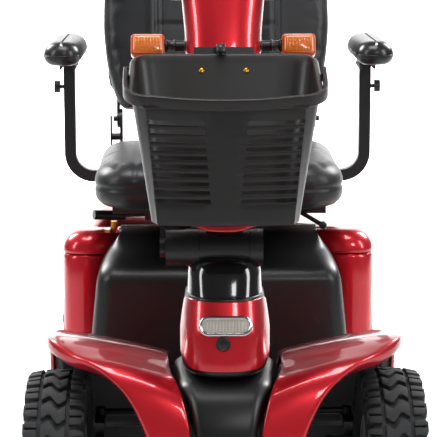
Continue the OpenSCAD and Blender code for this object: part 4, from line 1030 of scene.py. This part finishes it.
# ---------- rear body ----------
@dataclass
class RearBody:
    """Red rear body and lid, black battery cover, tail lamps."""

    half: float = 329.0
    front: float = 232.0
    back: float = 633.0
    cover: tuple[tuple[float, float, float], ...] = (
        (267, 105, 190), (265, 106, 215), (261, 109, 262), (256, 112, 312), (252, 115, 350), (249, 118, 364),
        (245, 127, 377), (239, 143, 389), (231, 168, 402), (221, 196, 415), (212, 222, 427), (206, 244, 436),
        (205, 284, 444))

    def build(self) -> None:
        """Build the body, the lid, the cover and the lamps."""
        self.body()
        self.lid()
        self.battery_cover()
        self.tail_lamps()

    def outline(self, inset: float, z: float) -> list[Point]:
        """Plan outline with rounded corners at height z."""
        w, h = 2 * (self.half - inset), self.back - self.front - 2 * inset
        return [(x, y, z) for x, y in rounded(w, h, 42 - inset * 0.4, 8, 0, (self.front + self.back) / 2)]

    def cut(self, obj: bpy.types.Object, *tools: bpy.types.Object) -> bpy.types.Object:
        """Cut tools out of a piece and drop them."""
        for tool in tools:
            cutter = obj.modifiers.new("cut", "BOOLEAN")
            cutter.object = tool
            cutter.solver = "EXACT"
        bake(obj)
        for tool in tools:
            bpy.data.objects.remove(tool)
        return obj

    def block(self, x: tuple[float, float], y: tuple[float, float], z: tuple[float, float]) -> bpy.types.Object:
        """Plain box that cuts."""
        return loft("tool", [[(x[0], y[0], h), (x[1], y[0], h), (x[1], y[1], h), (x[0], y[1], h)] for h in z], Look.RED)

    def well(self, r: float) -> bpy.types.Object:
        """Cylinder round the seat post that cuts."""
        return loft("tool", [[(x, 300 + y, z) for x, y in disc(r, 64)] for z in (400, 460)], Look.RED)

    def arch(self, r: float) -> bpy.types.Object:
        """Cylinder across both wheels that cuts the arches."""
        return loft("tool", [[(x, 445 + r * math.cos(2 * math.pi * k / 96), 165 + r * math.sin(2 * math.pi * k / 96))
                              for k in range(96)] for x in (-345, 345)], Look.RED)

    def body(self) -> None:
        """Red body with rolled lips at the wheel arches and a soft top edge."""
        levels = ((190, 0), (200, 0), (260, 0), (330, 0), (380, 0.3), (386, 1.6), (388.5, 4), (388.8, 9))
        body = loft("rear_red_body", [self.outline(i, z) for z, i in levels], Look.RED)
        inner = loft("tool", [self.outline(i + 3, z) for z, i in ((180, 0), (383, 0.3), (385.5, 4))], Look.RED)
        self.cut(body, inner, self.arch(181), self.block((-232, 232), (230, 277), (185, 395)))
        lips = []
        for side in (-1, 1):
            arc = [(side * 327.5, 445 + 182 * math.cos(math.radians(a)), 165 + 182 * math.sin(math.radians(a)))
                   for a in range(9, 172, 3)]
            lips.append(tube("lip", arc, 3.4, Look.RED, 10))
        fit(join("rear_red_body_with_lips", [body, *lips]), "chassis", Look.RED, "rear_body")

    def lid(self) -> None:
        """Domed red lid."""
        levels = [(390.5, 4), (390.9, 1)]
        for k in range(13):
            s = math.sin(math.radians(k * 7.2))
            levels.append((392 + 45 * s, 38 * (1 - math.sqrt(max(0.0, 1 - s * s)))))
        levels.append((438.0, 56))
        lid = loft("rear_red_lid", [self.outline(i, z) for z, i in levels], Look.RED)
        self.cut(lid, self.well(42), self.block((-206.5, 206.5), (226, 287), (380, 455)),
                 self.block((-228, -212), (254, 294), (400, 455)))
        fit(lid, "chassis", Look.RED, "rear_lid")

    def battery_cover(self) -> None:
        """Black cover over the batteries with a shoulder crease and a tongue to the rear."""
        rows = []
        for w, f, z in along(self.cover, 46):
            b = max(231.0, f)
            c = min(34.0, (b - f) * 0.7)
            side = [(w, lerp(b, f + c, i / 5)) for i in range(5)]
            corner = [(w - c + c * math.cos(math.radians(a)), f + c - c * math.sin(math.radians(a)))
                      for a in range(0, 91, 10)]
            half = side + corner
            middle = [(lerp(w - c, c - w, i / 12), f - 3 * math.sin(math.pi * i / 12) * min(1.0, c / 30))
                      for i in range(1, 12)]
            rows.append([(x, y, z) for x, y in half] + [(x, y, z) for x, y in middle]
                        + [(-x, y, z) for x, y in reversed(half)])
        cover = bake(sheet_of("battery_black_cover", rows, Look.SATIN, 2.6, 1, offset=1.0))
        fit(self.cut(cover, self.well(42)), "chassis", Look.SATIN, "battery_cover")

    def tail_lamps(self) -> None:
        """Two red lenses with soft edges."""
        lamps = []
        for side in (-1, 1):
            lamps.append(prism("lamp", rounded(84, 40, 9, 5, side * 225, 320), lambda a, b, o: (a, 633.5 + o, b),
                               ((0, 0), (9, 0), (11, 1.2), (12, 3.5)), Look.TAIL))
        fit(join("tail_lamp_lenses", lamps), "chassis", Look.TAIL, "tail_lights")


def band(name: str, path: Sequence[Point], profile: Sequence[tuple[float, float]], look: Look,
         closed: bool = False, up: Vector = Vector((0, 0, 1))) -> bpy.types.Object:
    """Bar of one profile along a path.

    Args:
        name: The piece's name.
        path: Its middle line in millimetres, counter-clockwise when closed.
        profile: Pairs of outward and upward offsets.
        look: Its finish.
        closed: Whether the path is a loop.
        up: Direction in which the profile stands.

    Returns:
        The piece.
    """
    line = [Vector(p) for p in path]
    count, n = len(line), len(profile)
    verts = []
    for i, p in enumerate(line):
        ahead = line[(i + 1) % count] if closed or i + 1 < count else p
        behind = line[i - 1] if closed or i else p
        out = (ahead - behind).normalized().cross(up).normalized()
        verts += [tuple(p + out * a + up * b) for a, b in profile]
    faces = grid_faces(count, n, closed=True)
    if closed:
        faces += [((count - 1) * n + k, (count - 1) * n + (k + 1) % n, (k + 1) % n, k) for k in range(n)]
    else:
        faces += [tuple(range(n)), tuple(range((count - 1) * n, count * n))]
    return piece(name, verts, faces, look)


def disc(radius: float, count: int = 24) -> list[tuple[float, float]]:
    """Points of a circle."""
    return [(radius * math.cos(2 * math.pi * k / count), radius * math.sin(2 * math.pi * k / count))
            for k in range(count)]


# ---------- basket ----------
@dataclass
class Basket:
    """Moulded shopping basket with rows of slots, a thick rim, a swinging handle and two screws."""

    low: tuple[float, float] = (119.0, 612.0)
    top: float = 150.0
    front_z: float = 812.0
    back_z: float = 866.0
    rows: int = 10
    pitch: float = 14.0
    slot: float = 7.0

    def build(self) -> None:
        """Build the basket with its rim and screws, then the handle."""
        fit(join("slotted_basket", [self.shell(), self.rim(), self.latch()]), "basket", Look.BASKET, "basket")
        self.handle()
        screws = [prism("screw", disc(4.6, 20), lambda a, b, o, x=x: (x + a, -469.2 - o + (b * 0.32), 842 + b),
                        ((-3, 0), (1.2, 0), (2.4, 1.4), (2.6, 3)), Look.BRASS) for x in (-37, 37)]
        fit(join("basket_screws", screws), "basket", Look.BRASS)

    def back(self, z: float) -> float:
        """Back wall's y at height z."""
        return -555.2 + 0.3249 * (z - 566.9)

    def outline(self, u: float, out: float = 0.0) -> list[Point]:
        """Outline at a share u of the height, from the front middle to the left and round."""
        w = lerp(self.low[0], self.top, u) + out
        zb, zf = lerp(self.low[1], self.back_z, u), lerp(self.low[1], self.front_z, u)
        b, f = self.back(zb) + out, lerp(-644.5, -670.0, u) - out
        r = 36.0
        inner, outer = lerp(21, 37, u), min(lerp(109, 126, u), w - 8)
        half = [(x, f + 12 * (x / w) ** 2) for x in (0, inner * 0.5, inner)]
        half += [(lerp(inner, outer, i / 6), f + 12 * (lerp(inner, outer, i / 6) / w) ** 2) for i in range(1, 7)]
        base = f + 12
        start = math.degrees(math.asin(max(-1.0, min(1.0, (outer - (w - r)) / r))))
        for a in (lerp(start, 90, i / 5) for i in range(1, 6)):
            half.append((w - r + r * math.sin(math.radians(a)), base + r - r * math.cos(math.radians(a))))
        side = b - 34 - (base + r)
        half += [(w, base + r + side * i / 6) for i in range(1, 7)]
        half += [(w - 34 + 34 * math.cos(math.radians(a)), b - 34 + 34 * math.sin(math.radians(a)))
                 for a in (18, 36, 54, 72, 90)]
        half += [((w - 34) * (1 - i / 4), b) for i in range(1, 5)]
        ring = half + [(-x, y) for x, y in reversed(half[1:-1])]
        return [(x, y, lerp(zf, zb, (y - f) / (b - f))) for x, y in ring]

    def shell(self) -> bpy.types.Object:
        """Wall with its slots, and a floor."""
        height = self.front_z - self.low[1]
        cuts = []
        for k in range(self.rows):
            low = 36 + self.pitch * k
            cuts += [(low / height, True), ((low + self.slot) / height, False)]
        levels = [(0.0, False), (0.05, False), (0.11, False)] + cuts + [(0.94, False), (1.0, False)]
        rings = [self.outline(u) for u, _ in levels]
        columns = len(rings[0])
        half = columns // 2
        slots = set(range(2, 8)) | {14, 15, 16, 17}
        faces = []
        for r in range(len(levels) - 1):
            for c in range(columns):
                k = c if c < half else columns - 1 - c
                if levels[r][1] and k in slots:
                    continue
                faces.append((r * columns + c, r * columns + (c + 1) % columns,
                              (r + 1) * columns + (c + 1) % columns, (r + 1) * columns + c))
        verts = [p for ring in rings for p in ring]
        inset = [((p[0] * 0.93), -592 + (p[1] + 592) * 0.9, p[2] - 1.5) for p in rings[0]]
        start = len(verts)
        verts += inset
        faces += [(c, (c + 1) % columns, start + (c + 1) % columns, start + c) for c in range(columns)]
        faces.append(tuple(start + c for c in range(columns)))
        obj = piece("wall", verts, faces, Look.BASKET)
        solid = obj.modifiers.new("wall", "SOLIDIFY")
        solid.thickness = 4.2 * MM
        solid.offset = -1.0
        bevel(obj, 1.1, 2, 40)
        return obj

    def rim(self) -> bpy.types.Object:
        """Thick rounded rim."""
        path = [p for p in self.outline(1.0)]
        rim = band("rim", path, ((-4, -13), (-4, 1), (-2, 3), (3, 3), (5, 1), (5.5, -11), (4, -13)), Look.BASKET,
                   closed=True)
        bevel(rim, 1.2, 2, 25)
        return rim

    def latch(self) -> bpy.types.Object:
        """Rounded catch behind the rim."""
        path = [(-5, -462, 850), (-5, -459, 872), (-5, -461, 880), (-5, -467, 884), (-5, -474, 881), (-5, -476, 872)]
        fine = along(path, 16)
        return band("catch", fine, ((-2, -8), (-2, 8), (2, 8), (2, -8)), Look.BASKET, up=Vector((1, 0, 0)))

    def handle(self) -> None:
        """Carrying handle that rests round the front."""
        drop = math.radians(18)
        flat = [(158.5, 4.0), (158.5, -30.0), (157.5, -62.0)]
        flat += [(112 + 45 * math.cos(math.radians(a)), -66 - 42 * math.sin(math.radians(a)))
                 for a in range(15, 91, 15)]
        flat += [(x, -122 + 14 * (x / 112) ** 2) for x in (75, 38)]
        flat += [(0, -122)] + [(-x, y) for x, y in reversed(flat)]
        path = [(x, -563 + y * math.cos(drop), 846 + y * math.sin(drop)) for x, y in along(flat, 80)]
        path.reverse()
        up = Vector((0, -math.sin(drop), math.cos(drop)))
        bar = band("handle", path, ((-2.6, -9), (-2.6, 9), (-1, 10), (3, 10), (4.4, 8.6), (4.4, -8.6), (3, -10),
                                    (-1, -10)), Look.BASKET, up=up)
        bevel(bar, 0.8, 2, 30)
        ends = [prism("end", disc(11.5, 28), lambda a, b, o, s=s: (s * (154.5 + o), -563 + a, 846 + b),
                      ((0, 0), (7, 0), (8.5, 1.5)), Look.BASKET) for s in (-1, 1)]
        fit(join("basket_swing_handle", [bar, *ends]), "basket_handle", Look.BASKET, "basket_handle")


# ---------- tiller ----------
@dataclass
class Tiller:
    """Red tiller cover, indicators, control head and grips."""

    length: float = 430.0
    rake: float = 18.0
    pivot: Point = (0.0, -500.0, 549.0)
    levels: tuple[tuple[float, float, float, float], ...] = (
        (57, 36, 26, 36), (60, 40, 30, 66), (62.5, 43, 34, 130), (63.5, 45, 36, 210), (64, 46, 38, 300),
        (65, 46, 40, 360), (69, 44, 42, 410), (71, 43, 43, 429))

    def on(self, x: float, y: float, s: float) -> Point:
        """Point of the tiller: across, towards the rider, along."""
        r = math.radians(self.rake)
        return (x, self.pivot[1] + y * math.cos(r) + s * math.sin(r), self.pivot[2] - y * math.sin(r) + s * math.cos(r))

    def build(self) -> None:
        """Build every piece of the tiller."""
        self.cover()
        self.indicators()
        self.head()
        self.grips()

    def cover(self) -> None:
        """Convex red cover, open at the back."""
        rows = []
        for w, f, b, s in along(self.levels, 40):
            row = [self.on(w * 0.99, b * (1 - i / 4), s) for i in range(4)]
            for k in range(49):
                a = math.pi * k / 48
                c = math.cos(a)
                dip = 15 * math.sin(a) ** 2 * max(0.0, 1 - (s - self.levels[0][3]) / 60)
                row.append(self.on(w * math.copysign(abs(c) ** (2 / 2.6), c), -f * math.sin(a) ** (2 / 2.1), s - dip))
            row += [self.on(-w * 0.99, b * (i / 4), s) for i in range(1, 5)]
            rows.append(row)
        fit(bake(sheet_of("tiller_red_cover", rows, Look.RED, 2.6, 0, offset=1.0)), "tiller", Look.RED, "tiller_cover")

    def indicators(self) -> None:
        """Amber lenses with inner ribs in a deep amber back, on ribbed stalks."""
        lenses, backs, stalks = [], [], []
        for side in (-1, 1):
            place = lambda a, b, o, s=side: self.on(s * 128 + a, -o, 345 + b)
            backs.append(prism("back", rounded(57.5, 37.5, 7, 6), place,
                               ((-15.5, 2), (-14.5, 0), (8, 0), (9.5, 1.2), (9.5, 4)), Look.EMBER))
            front = prism("lens", rounded(50, 30, 5, 6), place, ((8, 0), (12.5, 0), (14.5, 1.4), (15.6, 4)), Look.AMBER)
            lenses.append(front)
            for i in range(9):
                x = -20 + i * 5
                rib = [(x - 0.8, -12.5), (x + 0.8, -12.5), (x + 0.8, 12.5), (x - 0.8, 12.5)]
                lenses.append(prism("rib", rib, place, ((14, 0), (16.4, 0.3)), Look.AMBER))
            for y in (-5, 5):
                lenses.append(prism("bar", [(-21, y - 0.7), (21, y - 0.7), (21, y + 0.7), (-21, y + 0.7)], place,
                                    ((14, 0), (16.0, 0.3)), Look.AMBER))
            line = [self.on(side * x, 0, 345) for x in (54, 58, 58.1, 84, 84.1, 100)]
            stalks.append(tube("stalk", line, 8.8, Look.SATIN, 24))
            for x in (62, 80, 95):
                stalks.append(tube("collar", [self.on(side * x, 0, 345), self.on(side * (x + 4), 0, 345)], 10.4,
                                   Look.SATIN, 24))
        fit(join("amber_lenses", [*lenses, *backs]), "tiller", Look.AMBER, "indicator_lenses")
        fit(join("indicator_stalks_ribbed", stalks), "tiller", Look.SATIN, "indicator_stalks")

    def head(self) -> None:
        """Control head: soft-edged housing with a recessed face, dial ring and a gauge window."""
        base = self.length
        place = lambda a, b, o: self.on(a, b, base + o)
        shell = prism("housing", rounded(209, 77, 26, 8, 0, -5), place,
                      ((1, 6), (2, 2.5), (6, 0.4), (60, 0), (108, 0), (115, 1.8), (118.5, 5), (119.6, 12)), Look.SATIN)
        face = lambda a, b, o: self.on(a, 33.2 + o, base + b)
        plate = prism("face", rounded(180, 84, 16, 6, 0, 66), face, ((-2, 0), (0.9, 0), (1.4, 0.8)), Look.GLOSS)
        gauge = prism("gauge", rounded(42, 10, 3, 4, 0, 36), face, ((0, 0), (1.8, 0), (2.1, 0.6)), Look.PALE)
        rings = [tube("ring", [self.on(x + r * math.cos(a * math.pi / 16), 34.6,
                                       base + z + r * math.sin(a * math.pi / 16)) for a in range(32)],
                      1.2, Look.GREY, 8, closed=True)
                 for x, z, r in ((0, 92, 23), (-58, 66, 9.6), (-58, 96, 9.6), (58, 92, 9.6))]
        fit(join("control_head_soft_edged", [shell, plate, gauge, *rings]), "tiller", Look.SATIN, "control_head")

    def grips(self) -> None:
        """Ribbed rubber grips on both ends of the bar."""
        grips = []
        for side in (-1, 1):
            for i in range(13):
                y = 66 + i * 5.6
                line = [self.on(side * 270, along_y, self.length + 60) for along_y in (y, y + 3.4)]
                grips.append(tube("rib", line, 17.6, Look.MAT, 24))
        fit(join("grip_ribs", grips), "tiller", Look.MAT)


# ---------- seat ----------
@dataclass
class Cushion:
    """Soft piece that is blown up with cloth from a tight cover and then stitched."""

    name: str
    body: str
    node: str
    rings: list[list[Point]]
    look: Look = Look.VINYL
    voxel: float = 6.0
    pressure: float = 4.0
    limit: float = 5.0
    fill: float = 0.7
    stitch: Callable[[Vector, Vector], Vector] | None = None

    def build(self) -> bpy.types.Object:
        """Build, inflate, stitch and fit the cushion."""
        obj = loft(self.name, self.rings, self.look)
        remesh = obj.modifiers.new("even", "REMESH")
        remesh.mode = "VOXEL"
        remesh.voxel_size = self.voxel * MM
        bake(obj)
        self.inflate(obj)
        if self.stitch:
            self.sew(obj)
        subdivide(obj, 1)
        bake(obj)
        obj.data.materials.clear()
        obj.data.materials.append(self.look.material())
        obj.data.polygons.foreach_set("use_smooth", [True] * len(obj.data.polygons))
        return fit(obj, self.body, self.look, self.node)

    def inflate(self, obj: bpy.types.Object) -> None:
        """Blow the cover up and cap how far each point goes."""
        rest = [v.co.copy() for v in obj.data.vertices]
        cloth = obj.modifiers.new("cover", "CLOTH")
        settings = cloth.settings
        settings.quality = 4
        settings.mass = 0.3
        settings.use_pressure = True
        settings.uniform_pressure_force = self.pressure
        settings.tension_stiffness = settings.compression_stiffness = 18
        settings.bending_stiffness = 4
        settings.effector_weights.gravity = 0
        cloth.collision_settings.use_collision = False
        scene = bpy.context.scene
        scene.frame_start, scene.frame_end = 1, 20
        cloth.point_cache.frame_start, cloth.point_cache.frame_end = 1, 20
        for frame in range(1, 21):
            scene.frame_set(frame)
        bake(obj)
        scene.frame_set(1)
        for vertex, start in zip(obj.data.vertices, rest):
            shift = vertex.co - start
            if shift.length > self.limit * MM:
                vertex.co = start + shift.normalized() * self.limit * MM

    def sew(self, obj: bpy.types.Object) -> None:
        """Draw in the seams."""
        normals = [v.normal.copy() for v in obj.data.vertices]
        for vertex, normal in zip(obj.data.vertices, normals):
            vertex.co = self.stitch(vertex.co / MM, normal) * MM


def seam(distance: float, depth: float, width: float) -> float:
    """Depth of a stitched groove with a puffed edge at some distance from its line."""
    t = distance / width
    return depth * math.exp(-t * t) - 0.28 * depth * math.exp(-((abs(t) - 2.1) ** 2) / 0.8)


@dataclass
class Seating:
    """Seat cushion, back cushion, headrest and arm pads."""

    back_pivot: tuple[float, float] = (520.0, 642.0)
    back_rake: float = 10.0

    def on_back(self, x: float, y: float, s: float) -> Point:
        """Point of the backrest: across, to the rear, up along it."""
        r = math.radians(self.back_rake)
        return (x, self.back_pivot[0] + y * math.cos(r) + s * math.sin(r),
                self.back_pivot[1] - y * math.sin(r) + s * math.cos(r))

    def off_back(self, p: Vector) -> Vector:
        """Backrest coordinates of a point."""
        r = math.radians(self.back_rake)
        y, z = p.y - self.back_pivot[0], p.z - self.back_pivot[1]
        return Vector((p.x, y * math.cos(r) - z * math.sin(r), y * math.sin(r) + z * math.cos(r)))

    def build(self) -> None:
        """Build every soft piece."""
        self.seat()
        self.back()
        self.headrest()
        self.pads()

    def seat(self) -> None:
        """Seat cushion with a seam round its side and two darts on top."""
        rings = []
        for _, inset, z in self.profile(514, 600, 26, 36, 9):
            rings.append([(x, y, z) for x, y in rounded(510 - 2 * inset, 434 - 2 * inset, 74 - inset * 0.5, 10,
                                                        0, 270)])

        def stitch(p: Vector, n: Vector) -> Vector:
            """Pull a point in along the side seam and the darts."""
            side = max(0.0, 1 - abs(n.z) * 1.3)
            p = p - n * seam(p.z - 556, 3.4, 3.2) * side
            if n.z > 0.3:
                edge = max(abs(p.x) / 258, abs(p.y - 270) / 222)
                p = p - n * (2.6 * math.exp(-(((abs(p.x) - 168) / 3.6) ** 2)) * (edge < 0.97))
                p.z -= 7 * max(0.0, 1 - (p.x / 150) ** 2) * max(0.0, 1 - ((p.y - 290) / 190) ** 2)
            return p

        Cushion("seat_cushion_upholstered", "seat", "seat_cushion", rings, stitch=stitch).build()

    def profile(self, low: float, high: float, r_low: float, r_high: float,
                steps: int) -> list[tuple[float, float, float]]:
        """Levels of a round-edged pad: share, inset and height."""
        out = []
        for i in range(steps + 1):
            a = math.pi / 2 * i / steps
            out.append((0.0, r_low * (1 - math.sin(a)), low + r_low * (1 - math.cos(a))))
        for i in range(steps + 1):
            a = math.pi / 2 * i / steps
            out.append((1.0, r_high * (1 - math.cos(a)), high - r_high * (1 - math.sin(a))))
        return out

    def back(self) -> None:
        """Back cushion with two long seams, side bolsters and a lumbar fold."""
        outline = [(203, 16), (223, 34), (243, 100), (254, 180), (254, 260), (250, 350), (240, 400), (220, 440),
                   (180, 465), (110, 474), (0, 476)]
        outline = [(x, s) for x, s in along(outline, 34)]
        shape = outline + [(-x, s) for x, s in reversed(outline[:-1])]
        low = [(x, 14.5) for x in (-150, -75, 0, 75, 150)]
        ring = low + shape
        rings = []
        for _, inset, level in self.profile(-27.5, 43, 18, 24, 8):
            rings.append([self.on_back(x * (1 - inset / 256), -level, 245 + (s - 245) * (1 - inset / 231))
                          for x, s in ring])

        def stitch(p: Vector, n: Vector) -> Vector:
            """Pull a point in along the panel seams and hollow the middle."""
            q = self.off_back(p)
            front = max(0.0, -(n.y * math.cos(math.radians(10)) - n.z * math.sin(math.radians(10))))
            if front > 0.25:
                groove = seam(abs(q.x) - 130, 7.5, 6.0) + 2.6 * math.exp(-(((q.z - 205) / 4.2) ** 2)) * (abs(q.x) < 130)
                height = min(1.0, max(0.0, q.z / 480))
                hollow = 11 * max(0.0, 1 - (q.x / 130) ** 2) * (abs(q.x) < 130) * (
                    0.4 + 0.6 * math.sin(math.pi * height))
                p = p - n * (groove + hollow) * min(1.0, front * 1.4)
            return p

        Cushion("back_cushion_upholstered", "backrest", "back_cushion", rings, stitch=stitch).build()

    def headrest(self) -> None:
        """Headrest pad with its two posts."""
        rings = []
        for _, inset, level in self.profile(-37, 27, 20, 26, 7):
            rings.append([self.on_back(x, -level, s) for x, s in
                          rounded(254 - 2 * inset, 114 - 2 * inset, 44 - inset * 0.6, 8, 0, 550)])
        Cushion("headrest_pad", "headrest", "headrest", rings, voxel=5.0, limit=3.0, stitch=self.head_seam).build()
        posts = []
        for x in (-60, 60):
            posts.append(tube("post", [self.on_back(x, 55, s) for s in (332, 360, 540, 549)], 6, Look.ZINC, 24))
            posts.append(prism("lug", rounded(12, 24, 2, 3, x, 48), lambda a, b, o: self.on_back(a, b, 540 + o),
                               ((0, 1), (1, 0), (13, 0), (14, 1)), Look.COAT))
        fit(join("headrest_posts", posts), "headrest", Look.ZINC)

    def head_seam(self, p: Vector, n: Vector) -> Vector:
        """Seam round the headrest's side."""
        q = self.off_back(p)
        side = max(0.0, 1 - abs(n.y) * 1.25)
        return p - n * seam(q.y - 6, 2.6, 3.0) * side

    def pads(self) -> None:
        """Arm pads: full round section with a moulding line, brackets below."""
        rings = []
        for _, inset, z in self.profile(798.5, 846, 19, 27, 9):
            rings.append([(x, y, z) for x, y in rounded(74 - 2 * inset, 279 - 2 * inset, 36.5 - inset * 0.92, 10,
                                                        311, 217)])
        pad = loft("left_pad", rings, Look.PAD)
        line = [(x, y, 818.5) for x, y in rounded(74.6, 279.6, 36.6, 10, 311, 217)]
        bead = band("bead", line, ((-1, -1), (0.7, -0.7), (0.9, 0), (0.7, 0.7), (-1, 1)), Look.PAD, closed=True)
        hole = [prism("bracket", rounded(4, 70, 1, 3, 314 + s * 14.8, 320), lambda a, b, o: (a, b, 773 + o),
                      ((0, 0.8), (1, 0), (26, 0)), Look.COAT) for s in (-1, 1)]
        plate = prism("plate", rounded(33, 130, 2, 3, 314, 260), lambda a, b, o: (a, b, 793 + o),
                      ((0, 0.8), (1, 0), (6, 0)), Look.COAT)
        bolt = tube("bolt", [(294, 345, 782), (334, 345, 782)], 4.5, Look.ZINC, 20)
        left = join("left_arm_pad_moulded", [pad, bead, plate, bolt, *hole])
        right = mirrored(left, "right_arm_pad_moulded")
        for obj, name in ((left, "left_arm_pad"), (right, "right_arm_pad")):
            fit(obj, name, Look.PAD, name)


ASSEMBLIES = (Wheels, FrontBody, Console, RearBody, Basket, Tiller, Seating)


def main() -> None:
    """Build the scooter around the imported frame."""
    logging.basicConfig(level=logging.INFO, format="%(name)s: %(message)s")
    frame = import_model()
    Studio().build()
    FramePieces().dress(frame)
    for assembly in ASSEMBLIES:
        assembly().build()


if __name__ == "__main__":
    main()
